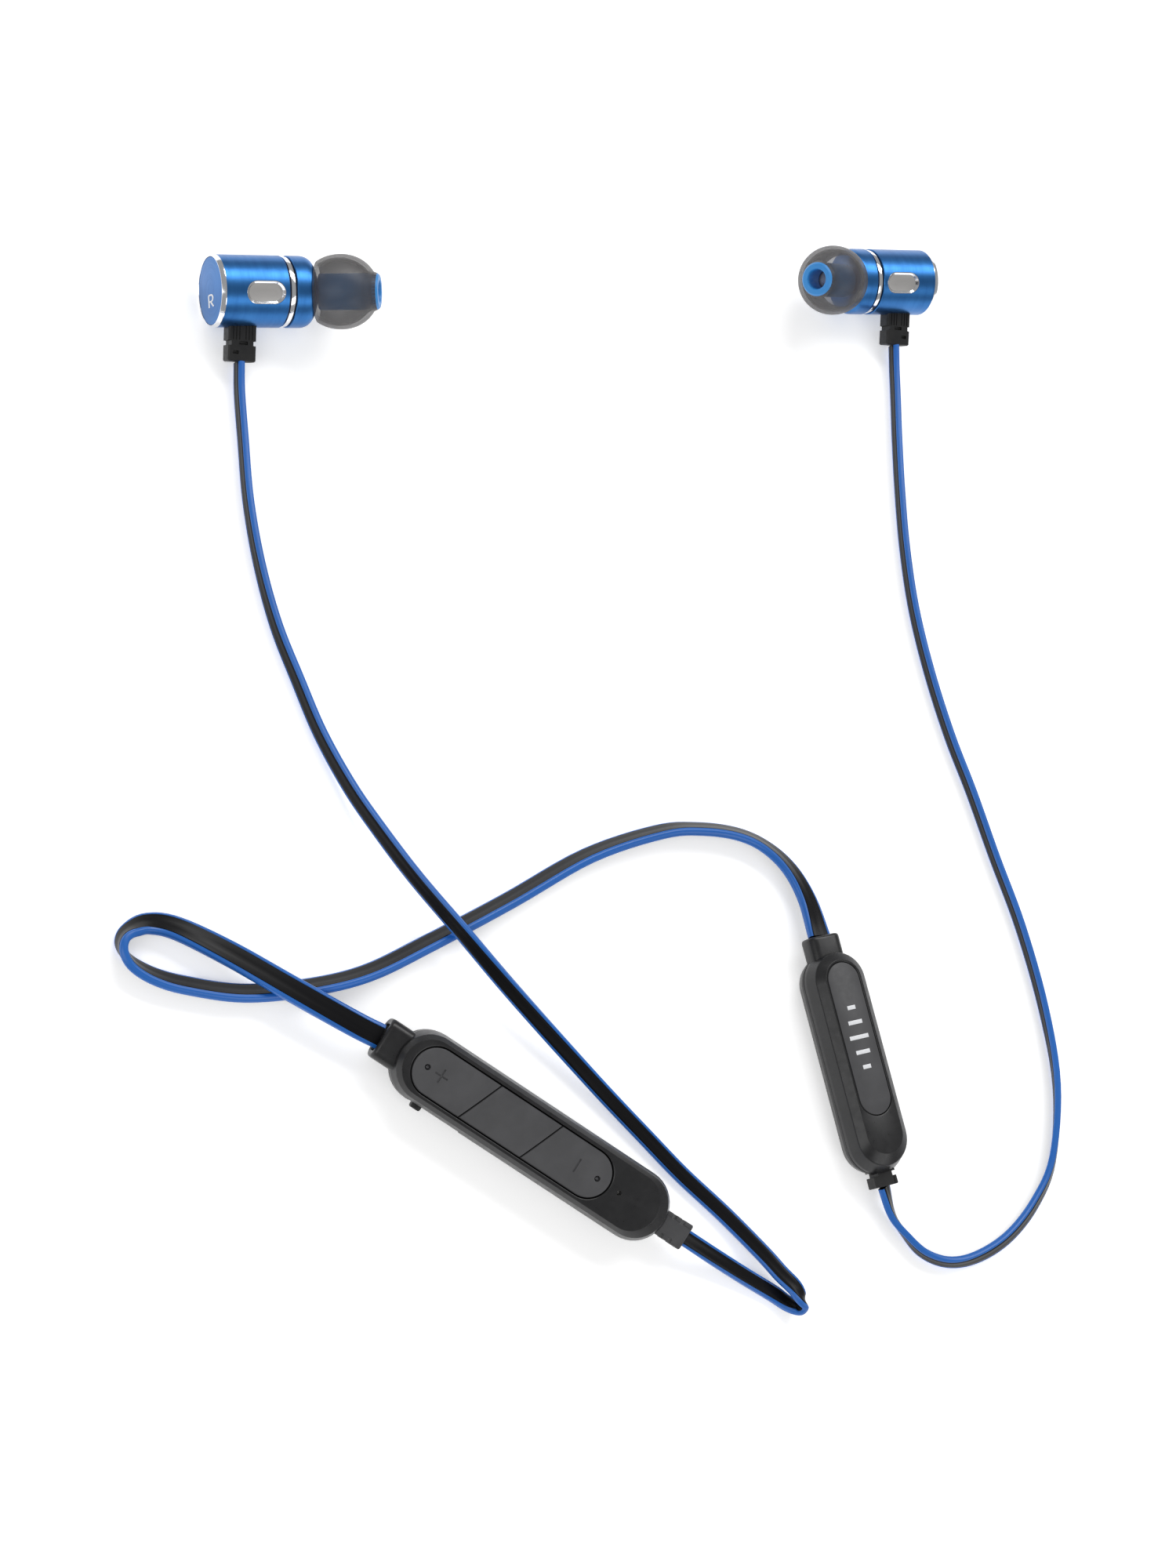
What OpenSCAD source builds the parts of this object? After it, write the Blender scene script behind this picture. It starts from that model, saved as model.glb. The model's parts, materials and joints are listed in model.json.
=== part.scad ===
// Neckband earphones laid out on a table: a control pod and a battery pod joined by a flat
// neckband cable, and two earbuds on flat leads. Millimetres, +Z up, table at z = 0,
// origin under the middle of the footprint of the pods and earbuds.

/* [Control pod] */
// Length of the control pod without its collar and strain relief
pod_l = 54; // [52:0.5:56]
// Width of the control pod
pod_w = 11.9; // [11.6:0.1:12]
// Height of the control pod
pod_h = 8; // [8:0.1:8.2]
// Length of the key panel in the top shell
panel_l = 38.8; // [38:0.2:39.4]
// Width of the key panel
panel_w = 8.4; // [8:0.1:8.6]
// Travel of each key
key_travel = 0.3; // [0.1:0.05:0.3]

/* [Battery pod] */
// Length of the battery pod without its collar and strain relief
cell_pod_l = 39; // [39:0.5:39]
// Width of the battery pod
cell_pod_w = 10.9; // [10.8:0.1:10.9]
// Height of the battery pod
cell_pod_h = 8; // [8:0.1:8]

/* [Earbuds] */
// Outer diameter of the barrel
barrel_d = 12; // [12:0.1:12.4]
// Length of the barrel from its rear cap to the polished band
barrel_l = 12; // [11.5:0.5:12.5]
// Angle between the barrel and the nozzle
nozzle_bend = 29; // [26:1:31]
// Largest diameter of the ear tip
tip_d = 12.5; // [12:0.1:12.8]

/* [Cables] */
// Width of the flat neckband cable
neck_w = 4.2; // [4:0.1:4.3]
// Thickness of the flat neckband cable
neck_t = 1.5; // [1.4:0.1:1.6]
// Width of the flat earbud leads
lead_w = 2.9; // [2.7:0.1:3]
// Thickness of the flat earbud leads
lead_t = 1.2; // [1.1:0.1:1.3]

/* [Hidden] */
EARBUD_NODES = ["rear_cap", "trim_ring", "barrel", "polished_band", "front_housing",
    "window_inlay", "driver_frame", "driver_magnet", "diaphragm", "nozzle_mesh",
    "ear_tip_dome", "ear_tip_core", "strain_relief"];

// Places on the table: [x, y] and heading of each pod from its collar to its strain relief.
// The control pod is rolled about its length and rests on one edge of its underside.
pod_at = [-26.5, -70];
pod_turn = -35;
pod_roll = 18;
cell_pod_at = [35.5, -61.5];
cell_pod_turn = -81;
// Where each lead leaves the strain relief of its earbud.
right_exit = [-64.8, 61.1];
left_exit = [65, 73.1];
earbud_turn = 3.7;

// Routes of the three flat cables: [x, y, lift above lying on the table, roll about the run].
// Roll 0 lies face up, 90 stands on its edge.
NECK_ROUTE = [[-56, -51.5, 3.9, -9], [-66, -45.5, 4, 0], [-75, -39.5, 2.4, 5],
    [-83, -35, 0.9, 20], [-87.5, -34, 0.2, 36], [-90.5, -35, 0, 58], [-92, -36.5, 0, 82],
    [-92, -38.5, 0, 106], [-90.5, -40.5, 0, 124], [-87, -42.5, 0, 132], [-82, -44, 0, 135],
    [-73, -45.5, 0, 133], [-62.5, -45, 0, 129], [-52, -43, 0, 126], [-41, -38.5, 0, 125],
    [-25.5, -31.5, 0, 123], [-10, -24, 0, 122], [4, -20, 0, 122], [12, -19.5, 0, 122],
    [19.5, -20.5, 0, 126], [25, -23, 0, 134], [29, -27, 0.3, 146], [31.5, -32.5, 0.9, 160]];
RIGHT_ROUTE = [[-65, 56, 0.2, 88], [-65, 48, 0, 88], [-65, 37, 0, 88], [-64, 26, 0, 86],
    [-62, 15.5, 0, 82], [-59, 6, 0, 78], [-56, -3, 0.2, 75], [-52, -12, 0.8, 69],
    [-48, -19.5, 2, 65], [-43, -28, 3.6, 61], [-36, -37.5, 4.5, 58], [-29.5, -45, 3.5, 48],
    [-23.5, -51.5, 2.4, 38], [-17, -58.5, 1.4, 30], [-11, -65, 0.7, 24], [-4.5, -72, 0.3, 19],
    [1.5, -78.5, 0.1, 15], [8.5, -85.5, 0.3, 12], [14.5, -92.5, 1.2, 8], [17, -96, 2, 4],
    [19, -98.5, 2.5, -6], [20, -100.5, 2.2, -35], [20.5, -101.5, 1.2, -90],
    [20, -102, 0.5, -135], [18.5, -101, 0.1, -160], [16, -99, 0, -176], [11, -96, 0.6, -182],
    [5, -92.5, 1.8, -188]];
LEFT_ROUTE = [[64.8, 69, 0.2, 98], [64.4, 64, 0, 98], [63.4, 55, 0, 98], [62.4, 44, 0, 98],
    [61.8, 33, 0, 98], [62, 21.5, 0, 98], [63.5, 9.5, 0, 98], [66, -2.5, 0, 98],
    [69, -13, 0, 99], [72, -25, 0, 100], [75.5, -38, 0, 101], [78, -53, 0, 104],
    [78.5, -67, 0, 114], [75.5, -80, 0, 126], [70.5, -87.5, 0, 134], [64, -93, 0, 132],
    [57, -96, 0, 124], [51, -96.5, 0, 106], [46, -94.5, 0, 88], [42.5, -90.5, 0, 66],
    [40.5, -87.5, 0.6, 48]];

// Shared sizes.
wall = 0.9;
gap = 0.2;
fit_gap = 0.05;
sliver = 0.01;
seam_z = 3.6;

// Both pods, at the ends of their flat top: distance from the relief end of the pod.
crown_end = 3;
underside_inset = 1.7;

// Control pod.
pod_crown = 1.2;
collar_out = 3;
collar_in = 3;
collar_w = 7.2;
collar_h = 4.8;
collar_z = 3.8;
relief_out = 4.6;
relief_in = 2.5;
relief_w = 4.6;
relief_t = 3;
relief_z = 3.2;
board_l = 42;
board_w = 7.4;
board_t = 0.8;
board_z = 4.2;
panel_u = -4.8;
plus_l = 12.9;
middle_l = 12.2;
key_slant = 0.41;
key_foot_t = 0.5;
key_foot_w = 5.2;
switch_h = 0.8;
lens_in = 2.5;
mic_u = 16.5;
socket_u = -15.5;
socket_l = 7.4;
socket_d = 5;
socket_h = 2.7;
cover_l = 9.4;
cover_h = 3.6;
cover_t = 0.8;
cover_z = board_z - socket_h / 2;
cover_y = -pod_w / 2 + 0.9;

// Battery pod.
cell_crown = 1.9;
cell_collar_out = 3;
cell_collar_w = 6.4;
cell_collar_h = 4.4;
cell_collar_z = 3.8;
cell_relief_out = 2.2;
inlay_u = -3.7;
inlay_l = 26.8;
inlay_w = 6.2;
inlay_t = 0.6;
cell_l = 25;
cell_w = 5.8;
cell_h = 3.6;
cell_z = 1.1;

// Earbud, along the barrel from the rear cap at x = 0.
barrel_r = barrel_d / 2;
barrel_bore = barrel_r - 1;
cap_r = barrel_r - 0.35;
cap_t = 1.4;
rim_l = 0.75;
band_l = 1.3;
front_x = barrel_l + band_l;
front_l = 4.2;
front_round = 2.8;
nozzle_x = 15.5;
nozzle_r = 2.3;
nozzle_bore = 1.6;
nozzle_l = 9.4;
nozzle_neck_r = 2.05;
nozzle_lean = 12;
tip_start = 3.2;
tip_l = 10.8;
tip_bore = nozzle_r + fit_gap;
tip_bore_l = 6.6;
core_r = 3.05;
mouth_r = 2.75;
window_x = 7.8;
window_l = 6.9;
window_w = 3.9;
window_deep = 0.6;
window_plate = 0.25;
window_tilt = 24;
bud_relief_x = 5.5;
bud_relief_w = 4.9;
bud_relief_t = 3;
bud_relief_reach = 11.7;
bud_relief_foot = 4.4;
lead_exit_z = 2.2;
bud_relief_slope = asin((barrel_r - lead_exit_z) / bud_relief_reach);
bud_relief_run = bud_relief_reach * cos(bud_relief_slope);

// ---- helpers ----

function unit(v) = v / norm(v);
function along(a) = [cos(a), sin(a)];

// Half the height that a flat cable of width w and thickness t takes up at a roll.
function rest_height(w, t, roll) =
    max(w / 2 * abs(sin(roll)) + t / 4 * abs(cos(roll)),
        (w / 2 - t / 4) * abs(sin(roll)) + t / 2 * abs(cos(roll)));

function centre_line(route, w, t) =
    [for (p = route) [p[0], p[1], p[2] + rest_height(w, t, p[3])]];

// Corners of a flat section: width along the first axis, corners cut at a quarter of t.
function flat_section(w, t) =
    let (x = w / 2, y = t / 2, c = t / 4)
    [[x, -y + c], [x, y - c], [x - c, y], [-x + c, y],
    [-x, y - c], [-x, -y + c], [-x + c, -y], [x - c, -y]];

function ring_points(line, i, section, roll) =
    let (last = len(line) - 1,
        t = unit(line[min(i + 1, last)] - line[max(i - 1, 0)]),
        n = unit(cross([0, 0, 1], t)),
        b = cross(t, n),
        across = n * cos(roll) + b * sin(roll),
        face = b * cos(roll) - n * sin(roll))
    [for (p = section) line[i] + across * p[0] + face * p[1]];

module flat_cable(route, w, t) {
    line = centre_line(route, w, t);
    section = flat_section(w, t);
    sides = len(section);
    rings = len(route);
    points = [for (i = [0:rings - 1]) each ring_points(line, i, section, route[i][3])];
    skin = [for (i = [0:rings - 2], k = [0:sides - 1])
        let (a = i * sides + k, b = i * sides + (k + 1) % sides)
        each [[a, a + sides, b + sides], [a, b + sides, b]]];
    ends = [[for (k = [0:sides - 1]) k],
        [for (k = [0:sides - 1]) rings * sides - 1 - k]];
    polyhedron(points = points, faces = concat(skin, ends), convexity = 10);
}

// Round-ended outline along X.
module stadium(l, w) {
    square([l - w, w], center = true);
    for (s = [-1, 1]) translate([s * (l - w) / 2, 0]) circle(d = w, $fn = 36);
}

module round_rect(w, h, r) {
    square([w - 2 * r, h], center = true);
    square([w, h - 2 * r], center = true);
    for (x = [-1, 1], y = [-1, 1])
        translate([x * (w / 2 - r), y * (h / 2 - r)]) circle(r = r, $fn = 32);
}

module slab(l, w, z, t = sliver) {
    translate([0, 0, z]) linear_extrude(t) stadium(l, w);
}

// Smooth pod body: widest at mid height, flat underside, and a flat top that is crown in
// from the sides and further in from the relief end. All faces are moved in by inset.
module pod_body(l, w, h, crown, inset = 0) {
    x = l - 2 * inset;
    y = w - 2 * inset;
    set_back = crown_end - crown;
    hull() {
        slab(x - 2 * underside_inset, y - 2 * underside_inset, inset);
        slab(x - 1.2, y - 1.2, max(inset, 0.9));
        slab(x, y, h * 0.36);
        slab(x, y, h * 0.56);
        translate([-0.3, 0, 0]) slab(x - 1.6, y - 1, h - 1.1 - inset * 0.6);
        translate([-set_back / 2, 0, 0])
            slab(x - 2 * crown - set_back, y - 2 * crown, h - inset - sliver);
    }
}

module above(z, l = 80) { translate([-l / 2, -l / 2, z]) cube([l, l, 20]); }
module below(z, l = 80) { translate([-l / 2, -l / 2, z - 20]) cube([l, l, 20]); }

// Bar along X from x0 to x1 with a rounded section centred at height z.
module bar(x0, x1, w, h, z, r) {
    translate([x0, 0, z]) rotate([90, 0, 90]) linear_extrude(x1 - x0) round_rect(w, h, r);
}

// Slotted strain relief along +X: a foot inside the housing, then notched blocks.
module slotted_relief(x_in, x_out, w, t, z) {
    bite = 0.45;
    notch = 0.8;
    difference() {
        bar(x_in, x_out, w, t, z, 0.4);
        for (s = [-1, 1], u = [1, 2])
            translate([x_out - (u == 1 ? 1.9 : 3.6) - (s > 0 ? 0 : 0.4), s * (w / 2), z])
                cube([notch, 2 * bite, t + 1], center = true);
    }
}

module collar(x0, x1, w, h, z) {
    bar(x0, x1, w, h, z, 1.6);
}

pod_lift = (pod_w / 2 - underside_inset) * sin(pod_roll);

module place_pod() {
    translate([pod_at[0], pod_at[1], pod_lift])
        rotate([0, 0, pod_turn]) rotate([pod_roll, 0, 0]) children();
}

module place_cell_pod() {
    translate([cell_pod_at[0], cell_pod_at[1], 0]) rotate([0, 0, cell_pod_turn]) children();
}

// ---- control pod ----

module pod_collar_space(grow) {
    bar(-pod_l / 2 - 1, -pod_l / 2 + collar_in + grow,
        collar_w + 2 * grow, collar_h + 2 * grow, collar_z, 1.6);
}

module pod_relief_space(grow) {
    bar(pod_l / 2 - relief_in - grow, pod_l / 2 + 1,
        relief_w + 2 * grow, relief_t + 2 * grow, relief_z, 0.4);
}

module pod_shell() {
    difference() {
        pod_body(pod_l, pod_w, pod_h, pod_crown);
        pod_body(pod_l, pod_w, pod_h, pod_crown, wall);
        pod_collar_space(fit_gap);
        pod_relief_space(fit_gap);
        // recess for the cover and the mouth of the charging socket
        translate([socket_u, -pod_w / 2, cover_z])
            cube([cover_l + 1, 2 * (0.9 + cover_t / 2 + gap), cover_h + 2 * gap], center = true);
        translate([socket_u, -pod_w / 2, cover_z])
            cube([socket_l + 0.2, 6, socket_h + 0.2], center = true);
    }
}

module control_pod_top() {
    color("#1c1d20") place_pod() difference() {
        intersection() {
            pod_shell();
            above(seam_z);
        }
        translate([panel_u, 0, pod_h - 2]) linear_extrude(4) stadium(panel_l, panel_w);
        translate([mic_u, 0, pod_h - 3]) cylinder(r = 0.4, h = 6, $fn = 32);
    }
}

module control_pod_bottom() {
    color("#1c1d20") place_pod() intersection() {
        pod_shell();
        below(seam_z);
    }
}

module control_pod_collar() {
    color("#17181a") place_pod()
        collar(-pod_l / 2 - collar_out, -pod_l / 2 + collar_in, collar_w, collar_h, collar_z);
}

key_cut_1 = -panel_l / 2 + plus_l;
key_cut_2 = key_cut_1 + middle_l;
key_end = panel_l / 2 - gap;

// Column of the panel between two slanted cuts that cross its middle line at u0 and u1.
module key_column(u0, u1) {
    s = key_slant * panel_w;
    linear_extrude(20) polygon([[u0 - s, -panel_w], [u1 - s, -panel_w], [u1 + s, panel_w],
        [u0 + s, panel_w]]);
}

// One key: a cap in the panel, a foot plate below it and a plunger over its switch.
module key(u0, u1, plunger_u, lens_u = 0) {
    cap_z = pod_h - wall - 0.3;
    translate([panel_u, 0, 0]) difference() {
        union() {
            intersection() {
                union() {
                    translate([0, 0, cap_z]) linear_extrude(pod_h - cap_z)
                        stadium(2 * key_end, panel_w - 2 * gap);
                    translate([2 - key_end, -key_foot_w / 2, cap_z - key_foot_t])
                        cube([2 * key_end - 4, key_foot_w, key_foot_t]);
                }
                key_column(u0, u1);
            }
            translate([plunger_u, 0, board_z + board_t + switch_h + key_travel + fit_gap])
                cylinder(r = 0.9, h = 0.8, $fn = 32);
        }
        // well of the lamp lens
        if (lens_u != 0) translate([lens_u, 0, pod_h - 0.3]) cylinder(r = 0.45, h = 1, $fn = 24);
    }
}

// Middle of each key, where its switch sits.
switch_u = [(key_cut_1 - key_end) / 2, (key_cut_1 + key_cut_2) / 2, (key_cut_2 + key_end) / 2];

module key_plus() {
    color("#2a2b2e") place_pod()
        key(-panel_l, key_cut_1 - gap / 2, switch_u[0], lens_in - panel_l / 2);
}

module key_middle() {
    color("#2a2b2e") place_pod() key(key_cut_1 + gap / 2, key_cut_2 - gap / 2, switch_u[1]);
}

module key_minus() {
    color("#2a2b2e") place_pod()
        key(key_cut_2 + gap / 2, panel_l, switch_u[2], panel_l / 2 - lens_in);
}

module tact_switches() {
    color("silver") place_pod()
        for (u = switch_u)
            translate([panel_u + u, 0, board_z + board_t]) {
                translate([-1.5, -1.5, 0]) cube([3, 3, 0.5]);
                cylinder(r = 0.8, h = switch_h, $fn = 32);
            }
}

module main_board() {
    color("darkgreen") place_pod() translate([1, 0, board_z]) linear_extrude(board_t)
        round_rect(board_l, board_w, 1);
}

module radio_chip() {
    color("silver") place_pod() translate([4, -2.5, board_z - 1.1]) cube([5, 5, 1.1]);
}

module ceramic_antenna() {
    color("white") place_pod() translate([18.8, -2.6, board_z - 1.2]) cube([2, 5.2, 1.2]);
}

module usb_socket() {
    wall_t = 0.25;
    color("silver") place_pod()
        translate([socket_u - socket_l / 2, -pod_w / 2 + 1.7, board_z - socket_h]) difference() {
            cube([socket_l, socket_d, socket_h]);
            translate([wall_t, -1, wall_t])
                cube([socket_l - 2 * wall_t, socket_d, socket_h - 2 * wall_t]);
        }
}

// Cover plate with a round hinge end, and a nail lip at its free end.
module usb_cover() {
    hinge_u = socket_u + cover_l / 2 - cover_t / 2;
    color("#17181a") place_pod() translate([0, cover_y, cover_z - cover_h / 2]) {
        translate([hinge_u, 0, 0]) cylinder(d = cover_t, h = cover_h, $fn = 32);
        translate([socket_u - cover_l / 2, -cover_t / 2, 0])
            cube([cover_l - cover_t / 2, cover_t, cover_h]);
        translate([socket_u - cover_l / 2 + 0.6, -cover_t / 2 - 1.2, 1])
            cube([1.8, 1.3, 1.8]);
    }
}

module microphone() {
    color("gold") place_pod() translate([mic_u - 2, -1.3, board_z - 1])
        cube([0.8, 2.6, 1]);
}

module lamp_light_guide() {
    color("white") place_pod() translate([mic_u - 0.4, -0.6, board_z + board_t + 0.1])
        cube([0.8, 1.2, 1.5]);
}

module control_pod_relief() {
    color("#3a3b3e") place_pod()
        slotted_relief(pod_l / 2 - relief_in, pod_l / 2 + relief_out, relief_w, relief_t, relief_z);
}

// ---- battery pod ----

module cell_pod_shell() {
    difference() {
        pod_body(cell_pod_l, cell_pod_w, cell_pod_h, cell_crown);
        pod_body(cell_pod_l, cell_pod_w, cell_pod_h, cell_crown, wall);
        bar(-cell_pod_l / 2 - 1, -cell_pod_l / 2 + collar_in + fit_gap,
            cell_collar_w + 2 * fit_gap, cell_collar_h + 2 * fit_gap, cell_collar_z, 1.6);
        bar(cell_pod_l / 2 - relief_in - fit_gap, cell_pod_l / 2 + 1,
            relief_w + 2 * fit_gap, relief_t + 2 * fit_gap, relief_z, 0.4);
    }
}

module battery_pod_top() {
    color("#1c1d20") place_cell_pod() difference() {
        intersection() {
            cell_pod_shell();
            above(seam_z);
        }
        translate([inlay_u, 0, cell_pod_h - inlay_t]) linear_extrude(4)
            stadium(inlay_l + 0.2, inlay_w + 0.2);
    }
}

module battery_pod_bottom() {
    color("#1c1d20") place_cell_pod() intersection() {
        cell_pod_shell();
        below(seam_z);
    }
}

module battery_pod_inlay() {
    color("#26272a") place_cell_pod() translate([inlay_u, 0, cell_pod_h - inlay_t])
        linear_extrude(inlay_t) stadium(inlay_l, inlay_w);
}

module battery_pod_collar() {
    color("#17181a") place_cell_pod() collar(-cell_pod_l / 2 - cell_collar_out,
        -cell_pod_l / 2 + collar_in, cell_collar_w, cell_collar_h, cell_collar_z);
}

module battery_cell() {
    color("silver") place_cell_pod() translate([0.5, 0, cell_z]) linear_extrude(cell_h)
        round_rect(cell_l, cell_w, 0.8);
}

module protection_board() {
    color("darkgreen") place_cell_pod() translate([-14.8, -2.4, 1.6]) cube([0.8, 4.8, 3]);
}

module battery_foam_pad() {
    color("#555555") place_cell_pod() translate([-9.5, -2.5, cell_z + cell_h])
        cube([20, 5, 0.5]);
}

module battery_pod_relief() {
    color("#17181a") place_cell_pod() slotted_relief(cell_pod_l / 2 - relief_in,
        cell_pod_l / 2 + cell_relief_out, relief_w, relief_t, relief_z);
}

// ---- earbuds ----
// side is -1 for the right earbud, whose nozzle points to +X, and 1 for the left one.

function bud_exit(side) = side < 0 ? right_exit : left_exit;

module place_earbud(side) {
    exit = bud_exit(side);
    lean = [cos(earbud_turn), sin(earbud_turn)] * bud_relief_x * side;
    translate([exit[0] + lean[0], exit[1] + bud_relief_run + lean[1], barrel_r])
        rotate([0, 0, earbud_turn]) mirror([side > 0 ? 1 : 0, 0, 0]) children();
}

// Turned part around the barrel: outline points are [radius, distance from the rear].
module turned(outline) { rotate([0, 90, 0]) rotate_extrude($fn = 64) polygon(outline); }

module along_nozzle() {
    translate([nozzle_x, 0, 0]) rotate([0, 90 - nozzle_bend, -nozzle_lean]) children();
}

module relief_axis(side) {
    translate([bud_relief_x, 0, 0]) rotate([0, 0, side * earbud_turn - 90])
        rotate([0, bud_relief_slope, 0]) children();
}

module rear_cap(side) {
    color("royalblue") place_earbud(side) turned([[0, 0], [cap_r, 0], [cap_r, cap_t], [0, cap_t]]);
}

module trim_ring(side) {
    color("silver") place_earbud(side) turned([[cap_r, 0.05], [barrel_r - 0.25, 0.05],
        [barrel_r, rim_l], [barrel_r, cap_t], [cap_r, cap_t]]);
}

module barrel(side) {
    color("royalblue") place_earbud(side) difference() {
        turned([[barrel_bore, cap_t], [barrel_r, cap_t], [barrel_r, barrel_l],
            [barrel_bore, barrel_l]]);
        rotate([window_tilt, 0, 0]) translate([window_x, 0, barrel_r - window_deep])
            linear_extrude(window_deep + 1) stadium(window_l, window_w);
        relief_axis(side) bar(barrel_bore - 2, barrel_r + 1, bud_relief_w + 2 * fit_gap,
            bud_relief_t + 2 * fit_gap, 0, 0.4);
    }
}

module polished_band(side) {
    color("silver") place_earbud(side) turned([[barrel_bore, barrel_l],
        [barrel_r - 0.15, barrel_l], [barrel_r - 0.15, front_x], [barrel_bore, front_x]]);
}

module front_housing(side) {
    corner_x = front_x + front_l - front_round;
    corner = [for (a = [0:10:90])
        [barrel_r - front_round + front_round * cos(a), corner_x + front_round * sin(a)]];
    color("royalblue") place_earbud(side) difference() {
        union() {
            turned(concat([[0, front_x], [barrel_r, front_x]], corner,
                [[0, front_x + front_l]]));
            along_nozzle() {
                cylinder(r = nozzle_neck_r, h = nozzle_l - 1.4, $fn = 48);
                translate([0, 0, nozzle_l - 1.4]) cylinder(r = nozzle_r, h = 1.4, $fn = 48);
            }
        }
        turned([[0, front_x - 1], [barrel_bore, front_x - 1], [barrel_bore, front_x + 1],
            [0, front_x + 2.4]]);
        along_nozzle() cylinder(r = nozzle_bore, h = nozzle_l + 1, $fn = 48);
        along_nozzle() translate([0, 0, nozzle_l - 0.3])
            cylinder(r = nozzle_bore + 0.3, h = 1, $fn = 48);
    }
}

module window_inlay(side) {
    color("gainsboro") place_earbud(side) rotate([window_tilt, 0, 0])
        translate([window_x, 0, barrel_r - window_deep])
            linear_extrude(window_plate) stadium(window_l - 0.1, window_w - 0.1);
}

module driver_frame(side) {
    color("dimgray") place_earbud(side) turned([[3.4, front_x - 2.4], [barrel_bore, front_x - 2.4],
        [barrel_bore, front_x], [4.2, front_x], [4.2, front_x - 1.8], [3.4, front_x - 1.8]]);
}

module driver_magnet(side) {
    color("gray") place_earbud(side) turned([[0, front_x - 4.4], [3.4, front_x - 4.4],
        [3.4, front_x - 1.6], [0, front_x - 1.6]]);
}

module diaphragm(side) {
    color("lightyellow") place_earbud(side) turned([[0, front_x + 0.5], [2, front_x + 0.3],
        [4.8, front_x], [4.8, front_x + 0.2], [2, front_x + 0.5], [0, front_x + 0.7]]);
}

module nozzle_mesh(side) {
    color("slategray") place_earbud(side) along_nozzle() translate([0, 0, nozzle_l - 0.3])
        cylinder(r = nozzle_bore + 0.3, h = 0.25, $fn = 48);
}

// Silicone dome: a thin bell around the core, closed at the mouth.
module ear_tip_dome(side) {
    r = tip_d / 2;
    skin = 0.7;
    rise = 6.6;
    outer = [for (a = [-35:8:61]) [r * cos(a) + (a > 0 ? 0.35 * sin(a) : 0), 4 + rise * sin(a)]];
    inner = [for (a = [53:-8:-35]) [(r - skin) * cos(a), 3.95 + (rise - skin) * sin(a)]];
    color("#5a5c60", 0.6) place_earbud(side) along_nozzle() translate([0, 0, tip_start])
        rotate_extrude($fn = 64) polygon(concat([[core_r, tip_l - 0.9]], inner, outer,
            [[core_r, tip_l - 0.35]]));
}

// Blue core that grips the nozzle and forms the mouth of the ear tip.
module ear_tip_core(side) {
    color("dodgerblue") place_earbud(side) along_nozzle() translate([0, 0, tip_start])
        rotate_extrude($fn = 48) polygon([[tip_bore, 0.6], [core_r, 0.6], [core_r, tip_l - 0.35],
            [mouth_r, tip_l], [1.9, tip_l], [1.75, tip_l - 0.4], [1.75, tip_bore_l],
            [tip_bore, tip_bore_l]]);
}

module strain_relief(side) {
    color("#17181a") place_earbud(side) relief_axis(side)
        slotted_relief(bud_relief_foot, bud_relief_reach, bud_relief_w, bud_relief_t, 0);
}

module earbud_part(side, name) {
    if (name == "rear_cap") rear_cap(side);
    if (name == "trim_ring") trim_ring(side);
    if (name == "barrel") barrel(side);
    if (name == "polished_band") polished_band(side);
    if (name == "front_housing") front_housing(side);
    if (name == "window_inlay") window_inlay(side);
    if (name == "driver_frame") driver_frame(side);
    if (name == "driver_magnet") driver_magnet(side);
    if (name == "diaphragm") diaphragm(side);
    if (name == "nozzle_mesh") nozzle_mesh(side);
    if (name == "ear_tip_dome") ear_tip_dome(side);
    if (name == "ear_tip_core") ear_tip_core(side);
    if (name == "strain_relief") strain_relief(side);
}

// ---- cables ----

// Point [x, y, z] on the middle line of each pod, at u along it and z above its underside.
function on_pod(u, z) =
    let (side = along(pod_turn + 90), across = -z * sin(pod_roll))
    [each pod_at + u * along(pod_turn) + across * side, z * cos(pod_roll) + pod_lift];
function on_cell_pod(u, z) = [each cell_pod_at + u * along(cell_pod_turn), z];
function on_earbud(side) = [each bud_exit(side), lead_exit_z];

// Route point that puts the centre line of a cable at p.
function through(p, w, t, roll) = [p[0], p[1], p[2] - rest_height(w, t, roll), roll];

module neckband_cable() {
    start = on_pod(-pod_l / 2 - collar_out, collar_z);
    end = on_cell_pod(-cell_pod_l / 2 - cell_collar_out, cell_collar_z);
    color("#1b4fa8") flat_cable(concat([through(start, neck_w, neck_t, -pod_roll)], NECK_ROUTE,
        [through(end, neck_w, neck_t, 180)]), neck_w, neck_t);
}

module right_lead() {
    end = on_pod(pod_l / 2 + relief_out, relief_z);
    color("#1b4fa8") flat_cable(concat([through(on_earbud(-1), lead_w, lead_t, 88)],
        RIGHT_ROUTE, [through(end, lead_w, lead_t, -180 - pod_roll)]), lead_w, lead_t);
}

module left_lead() {
    end = on_cell_pod(cell_pod_l / 2 + cell_relief_out, relief_z);
    color("#1b4fa8") flat_cable(concat([through(on_earbud(1), lead_w, lead_t, 98)],
        LEFT_ROUTE, [through(end, lead_w, lead_t, 28)]), lead_w, lead_t);
}

control_pod_top();
control_pod_bottom();
control_pod_collar();
key_plus();
key_middle();
key_minus();
tact_switches();
main_board();
radio_chip();
ceramic_antenna();
usb_socket();
usb_cover();
microphone();
lamp_light_guide();
control_pod_relief();
battery_pod_top();
battery_pod_bottom();
battery_pod_inlay();
battery_pod_collar();
battery_cell();
protection_board();
battery_foam_pad();
battery_pod_relief();
neckband_cable();
right_lead();
left_lead();
for (name = EARBUD_NODES) {
    earbud_part(-1, name);
    earbud_part(1, name);
}
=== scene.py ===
import json
import math

import bmesh
import bpy
from mathutils import Matrix, Vector


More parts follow.
